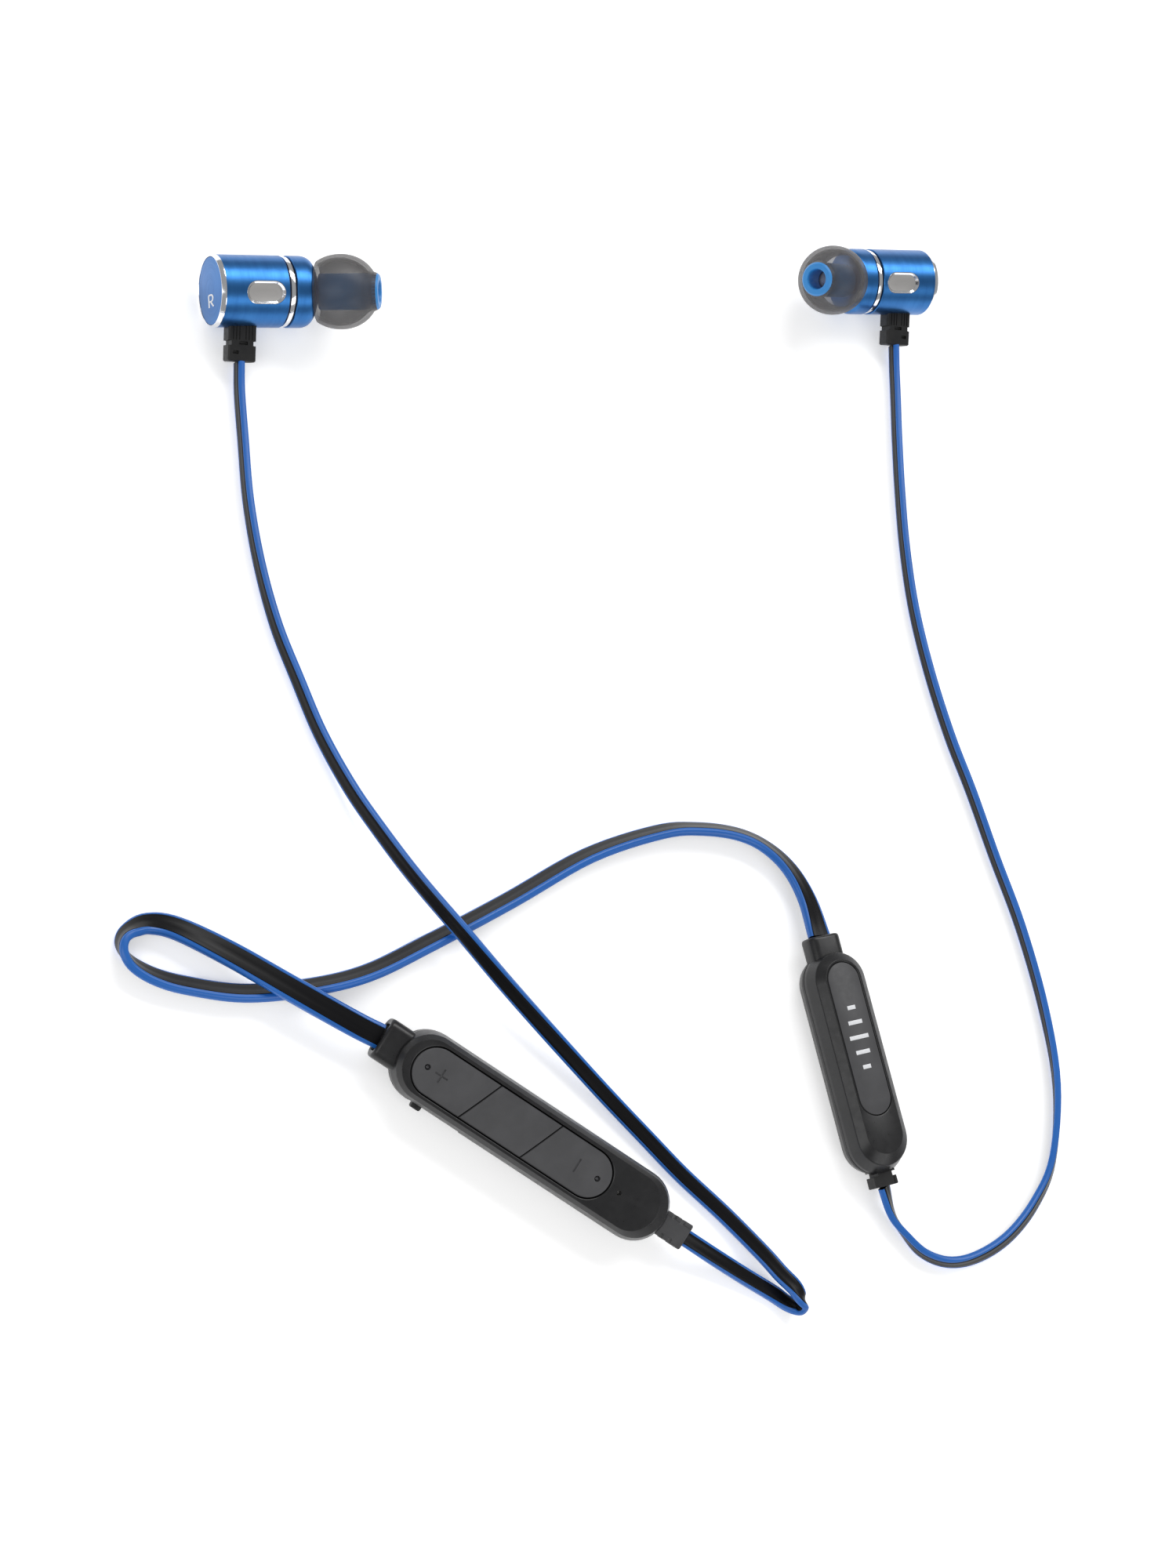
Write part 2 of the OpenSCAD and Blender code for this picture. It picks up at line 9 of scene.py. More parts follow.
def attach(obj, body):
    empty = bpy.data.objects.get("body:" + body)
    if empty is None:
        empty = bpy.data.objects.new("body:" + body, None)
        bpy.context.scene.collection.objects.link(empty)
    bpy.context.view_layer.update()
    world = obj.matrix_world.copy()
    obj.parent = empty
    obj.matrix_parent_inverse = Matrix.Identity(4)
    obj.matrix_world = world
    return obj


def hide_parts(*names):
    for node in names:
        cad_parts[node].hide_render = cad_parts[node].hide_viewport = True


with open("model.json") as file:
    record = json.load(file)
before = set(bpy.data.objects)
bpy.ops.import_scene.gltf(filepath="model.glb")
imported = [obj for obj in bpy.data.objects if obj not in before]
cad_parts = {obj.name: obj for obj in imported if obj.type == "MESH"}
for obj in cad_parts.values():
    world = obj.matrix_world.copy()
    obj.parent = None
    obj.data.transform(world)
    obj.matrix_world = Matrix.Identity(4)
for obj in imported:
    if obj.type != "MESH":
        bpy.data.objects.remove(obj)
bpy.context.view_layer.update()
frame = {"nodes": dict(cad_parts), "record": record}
MM = 0.001

# The camera looks at this point of the table, from this side and this far away, in metres.
VIEW_TARGET = (-0.0075, -0.011, 0.0)
VIEW_BACK = (-0.5, -0.25, 1.0)
VIEW_DISTANCE = 0.5
LENS_MM, SENSOR_MM = 67.2, 36.0

# ---------------------------------------------------------------- camera, floor and lights


def make_camera():
    """The photograph's view: from above and to the left, with the image's right along +X."""
    target = Vector(VIEW_TARGET)
    back = Vector(VIEW_BACK).normalized()
    right = Vector((1, 0, 0)) - back * back.x
    right.normalize()
    up = back.cross(right)
    data = bpy.data.cameras.new("camera")
    data.lens = LENS_MM
    data.sensor_width = SENSOR_MM
    data.clip_start = 0.01
    camera = bpy.data.objects.new("camera", data)
    bpy.context.scene.collection.objects.link(camera)
    turn = Matrix((right, up, back)).transposed()
    camera.matrix_world = Matrix.Translation(target + back * VIEW_DISTANCE) @ turn.to_4x4()
    bpy.context.scene.camera = camera


def soft_light(name, place, aim, size, power):
    """White rectangular light at a place in metres, turned to its aim."""
    data = bpy.data.lights.new(name, "AREA")
    data.shape = "RECTANGLE"
    data.size, data.size_y = size
    data.energy = power
    light = bpy.data.objects.new(name, data)
    bpy.context.scene.collection.objects.link(light)
    light.location = place
    light.rotation_euler = (Vector(aim) - Vector(place)).to_track_quat("-Z", "Y").to_euler()


def make_lights():
    soft_light("key_light", (0.35, 0.75, 1.0), (0, 0.03, 0), (1.3, 0.5), 10)
    soft_light("fill_light", (-0.9, -0.35, 0.9), (0, 0, 0), (0.7, 0.9), 4)
    soft_light("front_light", (0.45, -0.95, 0.8), (0, 0, 0), (0.9, 0.5), 3)
    world = bpy.data.worlds.new("studio")
    bpy.context.scene.world = world
    world.use_nodes = True
    sky = world.node_tree.nodes["Background"]
    sky.inputs["Color"].default_value = (1.0, 1.0, 1.0, 1.0)
    sky.inputs["Strength"].default_value = 0.34
    bpy.context.scene.view_settings.view_transform = "Standard"


# ---------------------------------------------------------------- materials


class Finish:
    """A node material: a Principled shader fed by a few noise and cell textures."""

    def __init__(self, name, base, roughness, metallic=0.0, place="Object"):
        self.material = bpy.data.materials.new(name)
        self.material.use_nodes = True
        self.tree = self.material.node_tree
        self.shader = self.tree.nodes["Principled BSDF"]
        self.shader.inputs["Base Color"].default_value = (*base, 1.0)
        self.shader.inputs["Roughness"].default_value = roughness
        self.shader.inputs["Metallic"].default_value = metallic
        self.base = base
        self.place = self.tree.nodes.new("ShaderNodeTexCoord").outputs[place]

    def set(self, **values):
        for name, value in values.items():
            self.shader.inputs[name.replace("_", " ")].default_value = value
        return self

    def link(self, a, b):
        self.tree.links.new(a, b)

    def noise(self, scale, stretch=(1, 1, 1), detail=2.0):
        mapping = self.tree.nodes.new("ShaderNodeMapping")
        mapping.inputs["Scale"].default_value = stretch
        self.link(self.place, mapping.inputs["Vector"])
        texture = self.tree.nodes.new("ShaderNodeTexNoise")
        texture.inputs["Scale"].default_value = scale
        texture.inputs["Detail"].default_value = detail
        self.link(mapping.outputs["Vector"], texture.inputs["Vector"])
        return texture.outputs["Fac"]

    def cells(self, scale):
        texture = self.tree.nodes.new("ShaderNodeTexVoronoi")
        texture.inputs["Scale"].default_value = scale
        self.link(self.place, texture.inputs["Vector"])
        return texture.outputs["Distance"]

    def between(self, value, low, high, start=0.3, end=0.7):
        node = self.tree.nodes.new("ShaderNodeMapRange")
        node.inputs["From Min"].default_value = start
        node.inputs["From Max"].default_value = end
        node.inputs["To Min"].default_value = low
        node.inputs["To Max"].default_value = high
        self.link(value, node.inputs["Value"])
        return node.outputs["Result"]

    def vary_colour(self, value, other):
        node = self.tree.nodes.new("ShaderNodeMix")
        node.data_type = "RGBA"
        node.inputs["A"].default_value = (*self.base, 1.0)
        node.inputs["B"].default_value = (*other, 1.0)
        self.link(self.between(value, 0.0, 1.0), node.inputs["Factor"])
        self.link(node.outputs["Result"], self.shader.inputs["Base Color"])
        return self

    def vary_roughness(self, value, low, high):
        self.link(self.between(value, low, high), self.shader.inputs["Roughness"])
        return self

    def bump(self, value, strength, depth_mm):
        node = self.tree.nodes.new("ShaderNodeBump")
        node.inputs["Strength"].default_value = strength
        node.inputs["Distance"].default_value = depth_mm * MM
        before = self.shader.inputs["Normal"].links
        if before:
            self.link(before[0].from_socket, node.inputs["Normal"])
        self.link(value, node.inputs["Height"])
        self.link(node.outputs["Normal"], self.shader.inputs["Normal"])
        return self


def moulded_plastic(name, base, other, rough, grain=0.25):
    """Satin moulded plastic: fine spark-eroded grain, faint handling marks."""
    f = Finish(name, base, rough)
    f.vary_colour(f.noise(260, detail=4), other)
    f.vary_roughness(f.noise(900, detail=5), rough - 0.05, rough + 0.06)
    f.bump(f.noise(9000), grain, 0.01)
    return f


def soft_rubber(name, base, other, rough):
    f = Finish(name, base, rough)
    f.vary_colour(f.noise(400, detail=3), other)
    f.vary_roughness(f.noise(1500, detail=4), rough - 0.06, rough + 0.08)
    f.bump(f.noise(6000), 0.3, 0.01)
    return f


def extruded_rubber(name, base, other, rough):
    """Cable jacket: fine lines along its run from the extruder, on the length-wise UV."""
    f = Finish(name, base, rough, place="UV")
    f.vary_colour(f.noise(500, (1, 0.08, 1), detail=3), other)
    f.vary_roughness(f.noise(2500, (1, 0.02, 1), detail=2), rough - 0.05, rough + 0.06)
    f.bump(f.noise(5000, (1, 0.015, 1)), 0.2, 0.008)
    return f


def turned_metal(name, base, other, rough, lines=0.25, metallic=1.0):
    """Turned metal: fine lines around the axis, on UVs that run around and along."""
    f = Finish(name, base, rough, metallic, place="UV")
    f.vary_colour(f.noise(700, (0.2, 1, 1), detail=3), other)
    f.vary_roughness(f.noise(9000, (0.02, 1, 1)), rough - 0.05, rough + 0.06)
    f.bump(f.noise(12000, (0.01, 1, 1)), lines, 0.004)
    return f


def plated_metal(name, base, other, rough):
    f = Finish(name, base, rough, 1.0)
    f.vary_colour(f.noise(600, detail=3), other)
    f.vary_roughness(f.noise(2500, (1, 0.2, 1), detail=4), rough - 0.05, rough + 0.1)
    f.bump(f.noise(8000), 0.1, 0.005)
    return f


def smoke_silicone():
    """Translucent dark silicone: denser where the surface turns away from the eye."""
    f = Finish("smoke_silicone", (0.085, 0.08, 0.08), 0.42, place="UV")
    f.vary_colour(f.noise(900, detail=3), (0.075, 0.07, 0.07))
    f.vary_roughness(f.noise(1800, detail=3), 0.36, 0.48)
    f.bump(f.noise(7000), 0.15, 0.008)
    facing = f.tree.nodes.new("ShaderNodeLayerWeight")
    facing.inputs["Blend"].default_value = 0.35
    f.link(f.between(facing.outputs["Facing"], 0.40, 0.97, 0.0, 1.0), f.shader.inputs["Alpha"])
    return f


def board_green():
    f = Finish("board_green", (0.02, 0.12, 0.06), 0.35)
    f.vary_colour(f.cells(900), (0.03, 0.2, 0.09))
    f.vary_roughness(f.noise(2000), 0.28, 0.42)
    f.bump(f.cells(900), 0.2, 0.02)
    return f


def foam_grey():
    f = Finish("foam_grey", (0.2, 0.2, 0.2), 0.9)
    f.vary_colour(f.cells(3000), (0.12, 0.12, 0.12))
    f.bump(f.cells(3000), 0.6, 0.1)
    return f


def print_white():
    f = Finish("print_white", (0.82, 0.83, 0.85), 0.45)
    f.vary_colour(f.noise(3000, detail=4), (0.72, 0.73, 0.76))
    f.vary_roughness(f.noise(4000), 0.4, 0.55)
    f.bump(f.noise(9000), 0.1, 0.004)
    return f


def make_materials():
    blue, blue_low = (0.042, 0.175, 0.45), (0.032, 0.14, 0.38)
    finishes = {
        "black_shell": moulded_plastic("black_shell", (0.011, 0.011, 0.012),
                                       (0.016, 0.016, 0.017), 0.32),
        "key_plastic": moulded_plastic("key_plastic", (0.06, 0.06, 0.063),
                                       (0.074, 0.074, 0.078), 0.5, 0.35),
        "soft_black": soft_rubber("soft_black", (0.006, 0.006, 0.007),
                                  (0.012, 0.012, 0.012), 0.48),
        "relief_grey": soft_rubber("relief_grey", (0.05, 0.05, 0.053),
                                   (0.065, 0.065, 0.068), 0.5),
        "cable_black": extruded_rubber("cable_black", (0.004, 0.004, 0.005),
                                       (0.008, 0.008, 0.009), 0.32),
        "cable_blue": extruded_rubber("cable_blue", (0.010, 0.115, 0.44),
                                      (0.014, 0.14, 0.52), 0.34),
        "anodised_blue": turned_metal("anodised_blue", blue, blue_low, 0.34, 0.08),
        "polished_metal": turned_metal("polished_metal", (0.86, 0.87, 0.89),
                                       (0.8, 0.81, 0.84), 0.12, 0.08),
        "inlay_silver": turned_metal("inlay_silver", (0.52, 0.51, 0.50),
                                     (0.46, 0.45, 0.44), 0.46, 0.15),
        "driver_grey": moulded_plastic("driver_grey", (0.02, 0.02, 0.022),
                                       (0.035, 0.035, 0.04), 0.3),
        "steel_parts": plated_metal("steel_parts", (0.55, 0.55, 0.57), (0.45, 0.45, 0.47), 0.3),
        "gold_plated": plated_metal("gold_plated", (0.8, 0.6, 0.25), (0.7, 0.5, 0.2), 0.25),
        "board_green": board_green(),
        "ceramic_white": moulded_plastic("ceramic_white", (0.75, 0.75, 0.72),
                                         (0.68, 0.68, 0.65), 0.3),
        "cell_foil": plated_metal("cell_foil", (0.6, 0.6, 0.62), (0.5, 0.5, 0.53), 0.35),
        "foam_grey": foam_grey(),
        "film_clear": moulded_plastic("film_clear", (0.75, 0.7, 0.55), (0.65, 0.6, 0.45), 0.25),
        "smoke_silicone": smoke_silicone(),
        "blue_silicone": soft_rubber("blue_silicone", (0.03, 0.24, 0.62),
                                     (0.04, 0.27, 0.66), 0.4),
        "print_white": print_white(),
    }
    for name in ("black_shell", "key_plastic", "soft_black", "relief_grey"):
        finishes[name].set(Specular_IOR_Level=0.4)
    finishes["cable_black"].set(Specular_IOR_Level=0.16)
    return {name: f.material for name, f in finishes.items()}


# ---------------------------------------------------------------- mesh helpers


SHARP_ANGLE = 32


def build(name, points, faces, slots, picks=None, at=None, uvs=None, sharp=SHARP_ANGLE):
    """Makes a mesh from points in millimetres, placed by the matrix at, and shades it."""
    at = at or Matrix.Identity(4)
    mesh = bpy.data.meshes.new(name)
    if at.determinant() < 0:
        faces = [f[::-1] for f in faces]
    mesh.from_pydata([(at @ Vector(p)) * MM for p in points], [], faces)
    for slot in slots:
        mesh.materials.append(MATERIALS[slot])
    for i, face in enumerate(mesh.polygons):
        face.use_smooth = True
        face.material_index = picks[i] if picks else 0
    if uvs:
        layer = mesh.uv_layers.new(name="along")
        for loop in mesh.loops:
            layer.data[loop.index].uv = uvs[loop.vertex_index]
    mesh.set_sharp_from_angle(angle=math.radians(sharp))
    obj = bpy.data.objects.new(name, mesh)
    bpy.context.scene.collection.objects.link(obj)
    return obj


def loft(name, rings, slots, caps=(False, False), wrap=False, at=None, pick=None,
         sharp=SHARP_ANGLE):
    """Skin over rings of points. pick gives the slot number of the faces at (ring, side)."""
    n = len(rings[0])
    points = [p for ring in rings for p in ring]
    faces, picks = [], []
    last = len(rings) if wrap else len(rings) - 1
    for i in range(last):
        a, b = i * n, ((i + 1) % len(rings)) * n
        for k in range(n):
            m = (k + 1) % n
            faces.append((a + k, a + m, b + m, b + k))
            picks.append(pick(i, k) if pick else 0)
    if caps[0]:
        faces.append(tuple(reversed(range(n))))
        picks.append(pick(-1, 0) if pick else 0)
    if caps[1]:
        faces.append(tuple(range(len(points) - n, len(points))))
        picks.append(pick(len(rings), 0) if pick else 0)
    return build(name, points, faces, slots, picks, at, ring_uvs(rings), sharp)


def ring_uvs(rings):
    """Metres around and metres along, for textures that follow the surface."""
    uvs, along = [], 0.0
    for i, ring in enumerate(rings):
        if i:
            along += max((Vector(ring[0]) - Vector(rings[i - 1][0])).length, 0.02)
        around = 0.0
        for k, p in enumerate(ring):
            if k:
                around += (Vector(p) - Vector(ring[k - 1])).length
            uvs.append((around * MM, along * MM))
    return uvs


def eased(points, radii, steps=5):
    """The open polyline with its inner corners rounded: radii has one radius per point."""
    out = [Vector(points[0])]
    for i in range(1, len(points) - 1):
        p, a, b = Vector(points[i]), Vector(points[i - 1]), Vector(points[i + 1])
        u, v = (a - p).normalized(), (b - p).normalized()
        half = math.acos(max(-1, min(1, u.dot(v)))) / 2
        if radii[i] <= 0 or half > math.radians(89):
            out.append(p)
            continue
        reach = min(radii[i] / math.tan(half), (a - p).length * 0.49, (b - p).length * 0.49)
        start, end = p + u * reach, p + v * reach
        for k in range(steps + 1):
            t = k / steps
            out.append(start * (1 - t) ** 2 + p * 2 * t * (1 - t) + end * t * t)
    out.append(Vector(points[-1]))
    return out


def turned(name, outline, slots, at, steps=96, pick=None):
    """A turned piece about the local X axis: outline points are [radius, along]."""
    rings = [[(x, r * math.cos(a), r * math.sin(a)) for a in angles(steps)] for r, x in outline]
    return loft(name, rings, slots, wrap=True, at=at, pick=pick)


def angles(n):
    return [2 * math.pi * k / n for k in range(n)]


def stadium(l, w, z=0.0, steps=20, shift=0.0):
    """Round-ended outline along X, anticlockwise from above, moved along X by shift."""
    r, c = w / 2, (l - w) / 2
    right = [(c + r * math.cos(a), r * math.sin(a), z)
             for a in (-math.pi / 2 + math.pi * k / steps for k in range(steps + 1))]
    outline = right + [(-x, -y, z) for x, y, z in right]
    return [(x + shift, y, z) for x, y, z in outline]


def round_rect(w, h, r, steps=6):
    """Rounded rectangle as (x, y) pairs, anticlockwise."""
    out = []
    for cx, cy, a0 in ((1, 1, 0), (-1, 1, 90), (-1, -1, 180), (1, -1, 270)):
        for k in range(steps + 1):
            a = math.radians(a0 + 90 * k / steps)
            out.append((cx * (w / 2 - r) + r * math.cos(a), cy * (h / 2 - r) + r * math.sin(a)))
    return out


def bar(name, stations, w, h, r, slots, at):
    """Rounded bar along X: stations are [x, inset], and at puts its centre line in place."""
    rings = []
    for x, inset in stations:
        ring = round_rect(w - 2 * inset, h - 2 * inset, max(r - inset, 0.05))
        rings.append([(x, y, z) for y, z in ring])
    return loft(name, rings, slots, (True, True), at=at)


def carve(obj, cutters):
    """Cuts the cutter objects out of obj and removes them."""
    for cutter in cutters:
        cut = obj.modifiers.new("cut", "BOOLEAN")
        cut.operation = "DIFFERENCE"
        cut.solver = "EXACT"
        cut.object = cutter
    bpy.context.view_layer.update()
    shape = obj.evaluated_get(bpy.context.evaluated_depsgraph_get())
    mesh = bpy.data.meshes.new_from_object(shape)
    obj.modifiers.clear()
    obj.data = mesh
    for face in mesh.polygons:
        face.use_smooth = True
    mesh.set_sharp_from_angle(angle=math.radians(SHARP_ANGLE))
    for cutter in cutters:
        bpy.data.objects.remove(cutter)
    return obj


def rod(points, radius, at, slots, name="rod", steps=24):
    """Straight round cutter from points[0] to points[1]."""
    a, b = Vector(points[0]), Vector(points[1])
    turn = (b - a).to_track_quat("Z", "Y").to_matrix()
    rings = [[tuple(p + turn @ Vector((radius * math.cos(t), radius * math.sin(t), 0)))
              for t in angles(steps)] for p in (a, b)]
    return loft(name, rings, slots, (True, True), at=at)


def block(low, high, at, slots, name="block", ease=0.0):
    """Box between two corners with eased edges."""
    (x0, y0, z0), (x1, y1, z1) = low, high
    e = max(ease, 0.001)
    ring = round_rect(y1 - y0, z1 - z0, e)
    mid = ((y0 + y1) / 2, (z0 + z1) / 2)
    rings = []
    for x, inset in ((x0, e), (x0 + e * 0.3, e * 0.3), (x0 + e, 0),
                     (x1 - e, 0), (x1 - e * 0.3, e * 0.3), (x1, e)):
        rings.append([(x, mid[0] + y * (1 - 2 * inset / (y1 - y0)),
                       mid[1] + z * (1 - 2 * inset / (z1 - z0))) for y, z in ring])
    return loft(name, rings, slots, (True, True), at=at)


def keep(obj, body, slot, *nodes):
    """Puts a piece on its body; the slot is not used. It takes the place of the CAD nodes, if any.
    """
    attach(obj, body)
    if nodes:
        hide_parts(*nodes)
    return obj


# ---------------------------------------------------------------- sizes, in millimetres

# Pods: place on the table, heading from collar to strain relief, then (length, width, height).
UNDERSIDE_INSET = 1.7
POD_AT, POD_TURN, POD_ROLL, POD = (-26.5, -70), -35, 18, (54, 11.9, 8)
CELL_AT, CELL_TURN, CELL = (35.5, -61.5), -81, (39, 10.9, 8)
POD_LIFT = (POD[1] / 2 - UNDERSIDE_INSET) * math.sin(math.radians(POD_ROLL))
POD_CROWN, CELL_CROWN, CROWN_END = 1.2, 1.9, 3
WALL, SEAM = 0.9, 3.6

# Ends of the pods: centre heights, and how far the collars and strain reliefs reach out and in.
COLLAR_Z, COLLAR_OUT, COLLAR_IN = 3.8, 3, 3
RELIEF_Z, POD_RELIEF_OUT, CELL_RELIEF_OUT, RELIEF_IN = 3.2, 4.6, 2.2, 2.5
RELIEF_W, RELIEF_T = 4.6, 3

# Key panel, keys and the cuts between them, microphone hole, cover of the charging socket.
PANEL_U, PANEL_L, PANEL_W, PANEL_FLOOR = -4.8, 38.8, 8.4, 5.8
KEY_SLANT, KEY_GAP, CAP_BOTTOM = 0.41, 0.2, 6.2
MIC_U, MIC_R = 16.5, 0.4
KEY_CUTS = (-6.5, 5.7)
LENS_IN = 2.5
COVER_U, COVER_Z = -15.5, 2.85
COVER_L, COVER_H, COVER_T = 9.4, 3.6, 0.8

# Inlay of the battery pod, and the middle and spacing of the bars printed on it.
INLAY_U, INLAY_L, INLAY_W = -3.7, 26.8, 6.2
MARK_U, MARK_PITCH = -3.9, 2.6

# Earbuds, along the barrel from the rear cap.
BARREL_R, BARREL_BORE, BARREL_L, FRONT_X, FRONT_L = 6, 5, 12, 13.3, 4.2
CAP_R, CAP_T = 5.65, 1.4
WINDOW_U, WINDOW_TILT, WINDOW_L, WINDOW_W = 7.8, 24, 6.9, 3.9
NOZZLE_X, NOZZLE_BEND, NOZZLE_LEAN = 15.5, 29, 12
NOZZLE_R, NOZZLE_NECK_R, NOZZLE_BORE, NOZZLE_L = 2.3, 2.05, 1.6, 9.4
TIP_START, TIP_L, TIP_R, TIP_BORE, CORE_R = 3.2, 10.8, 6.25, 2.35, 3.05
LEAD_EXIT_Z, EARBUD_TURN = 2.2, 3.7
RELIEF_X, RELIEF_FOOT, RELIEF_REACH = 5.5, 4.4, 11.7
BUD_RELIEF_W, BUD_RELIEF_T = 4.9, 3
SLOPE = math.asin((BARREL_R - LEAD_EXIT_Z) / RELIEF_REACH)

# Cables: where each lead leaves its earbud, and the flat sections.
RIGHT_EXIT, LEFT_EXIT = (-64.8, 61.1), (65, 73.1)
NECK_W, NECK_T, LEAD_W, LEAD_T = 4.2, 1.5, 2.9, 1.2


# ---------------------------------------------------------------- cables

# Routes as in the CAD source, in millimetres: [x, y, lift above lying on the table, roll].
NECK_ROUTE = [
    (-56, -51.5, 3.9, -9), (-66, -45.5, 4, 0), (-75, -39.5, 2.4, 5), (-83, -35, 0.9, 20),
    (-87.5, -34, 0.2, 36), (-90.5, -35, 0, 58), (-92, -36.5, 0, 82), (-92, -38.5, 0, 106),
    (-90.5, -40.5, 0, 124), (-87, -42.5, 0, 132), (-82, -44, 0, 135), (-73, -45.5, 0, 133),
    (-62.5, -45, 0, 129), (-52, -43, 0, 126), (-41, -38.5, 0, 125), (-25.5, -31.5, 0, 123),
    (-10, -24, 0, 122), (4, -20, 0, 122), (12, -19.5, 0, 122), (19.5, -20.5, 0, 126),
    (25, -23, 0, 134), (29, -27, 0.3, 146), (31.5, -32.5, 0.9, 160)]
RIGHT_ROUTE = [
    (-65, 56, 0.2, 88), (-65, 48, 0, 88), (-65, 37, 0, 88), (-64, 26, 0, 86),
    (-62, 15.5, 0, 82), (-59, 6, 0, 78), (-56, -3, 0.2, 75), (-52, -12, 0.8, 69),
    (-48, -19.5, 2, 65), (-43, -28, 3.6, 61), (-36, -37.5, 4.5, 58), (-29.5, -45, 3.5, 48),
    (-23.5, -51.5, 2.4, 38), (-17, -58.5, 1.4, 30), (-11, -65, 0.7, 24), (-4.5, -72, 0.3, 19),
    (1.5, -78.5, 0.1, 15), (8.5, -85.5, 0.3, 12), (14.5, -92.5, 1.2, 8), (17, -96, 2, 4),
    (19, -98.5, 2.5, -6), (20, -100.5, 2.2, -35), (20.5, -101.5, 1.2, -90),
    (20, -102, 0.5, -135), (18.5, -101, 0.1, -160), (16, -99, 0, -176), (11, -96, 0.6, -182),
    (5, -92.5, 1.8, -188)]
LEFT_ROUTE = [
    (64.8, 69, 0.2, 98), (64.4, 64, 0, 98), (63.4, 55, 0, 98), (62.4, 44, 0, 98),
    (61.8, 33, 0, 98), (62, 21.5, 0, 98), (63.5, 9.5, 0, 98), (66, -2.5, 0, 98),
    (69, -13, 0, 99), (72, -25, 0, 100), (75.5, -38, 0, 101), (78, -53, 0, 104),
    (78.5, -67, 0, 114), (75.5, -80, 0, 126), (70.5, -87.5, 0, 134), (64, -93, 0, 132),
    (57, -96, 0, 124), (51, -96.5, 0, 106), (46, -94.5, 0, 88), (42.5, -90.5, 0, 66),
    (40.5, -87.5, 0.6, 48)]


# Share of a cable's half width that its black face covers.
BLACK_SHARE = 0.70


def rest_height(w, t, roll):
    """Half the height of a flat cable of width w and thickness t at a roll."""
    s, c = abs(math.sin(math.radians(roll))), abs(math.cos(math.radians(roll)))
    return max(w / 2 * s + t / 4 * c, (w / 2 - t / 4) * s + t / 2 * c)


def smooth_route(route, w, t, steps=6):
    """Points [x, y, z, roll] on one smooth curve through the route."""
    stops = [Vector((x, y, lift + rest_height(w, t, roll), roll)) for x, y, lift, roll in route]
    ends = [stops[0] * 2 - stops[1]] + stops + [stops[-1] * 2 - stops[-2]]
    out = []
    for i in range(1, len(ends) - 2):
        a, b, c, d = ends[i - 1:i + 3]
        for k in range(steps):
            s = k / steps
            out.append(0.5 * (2 * b + (c - a) * s + (2 * a - 5 * b + 4 * c - d) * s * s
                              + (3 * b - a - 3 * c + d) * s ** 3))
    out.append(stops[-1])
    for p in out:
        p.z = max(p.z, rest_height(w, t, p.w))
    return out


def cable_section(w, t):
    """Half black face, groove, then the rounded blue edge; mirrored to the other three."""
    x, y = w / 2, t / 2
    face = BLACK_SHARE * x
    quarter = [(0.0, 0.94 * y), (0.18 * x, 0.97 * y), (0.38 * x, y), (face - 0.10, 0.99 * y),
               (face, 0.87 * y), (face + 0.10, 0.97 * y)]
    r = min(0.80 * y, x - face - 0.12)
    for a in (90, 68, 45, 22):
        c, s = math.cos(math.radians(a)), math.sin(math.radians(a))
        quarter.append((x - r + r * c, 0.95 * y - r + r * s))
    quarter.append((x, 0.0))
    upper = quarter + [(px, -py) for px, py in quarter[-2::-1]]
    return upper + [(-px, py) for px, py in upper[-2:0:-1]]


def cable(name, route, w, t, cad_node):
    """A flat two-coloured cable along its route."""
    line = smooth_route(route, w, t)
    section = cable_section(w, t)
    face = BLACK_SHARE * w / 2
    rings = []
    for i, p in enumerate(line):
        ahead = (line[min(i + 1, len(line) - 1)] - line[max(i - 1, 0)]).to_3d().normalized()
        side = Vector((0, 0, 1)).cross(ahead).normalized()
        top = ahead.cross(side)
        roll = math.radians(p.w)
        across = side * math.cos(roll) + top * math.sin(roll)
        out = top * math.cos(roll) - side * math.sin(roll)
        rings.append([tuple(p.to_3d() + across * x + out * y) for x, y in section])
    middle = [abs(section[k][0] + section[(k + 1) % len(section)][0]) / 2
              for k in range(len(section))]

    def pick(i, k):
        return 1 if 0 <= i < len(rings) and middle[k] > face else 0
    piece = loft(name, rings, ["cable_black", "cable_blue"], (True, True), pick=pick, sharp=40)
    path = [tuple(p.to_3d() * MM) for p in line]
    keep(piece, "headset", "cable_black", cad_node)
    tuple(path[0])
    return piece


def pod_frame(at, turn, roll=0, lift=0):
    """Local +X runs from the collar of a pod to its strain relief."""
    return (Matrix.Translation((at[0], at[1], lift))
            @ Matrix.Rotation(math.radians(turn), 4, "Z")
            @ Matrix.Rotation(math.radians(roll), 4, "X"))


CONTROL_FRAME = pod_frame(POD_AT, POD_TURN, POD_ROLL, POD_LIFT)
BATTERY_FRAME = pod_frame(CELL_AT, CELL_TURN)


def through(p, w, t, roll):
    """Route point that puts the centre line of a cable at p."""
    return (p[0], p[1], p[2] - rest_height(w, t, roll), roll)


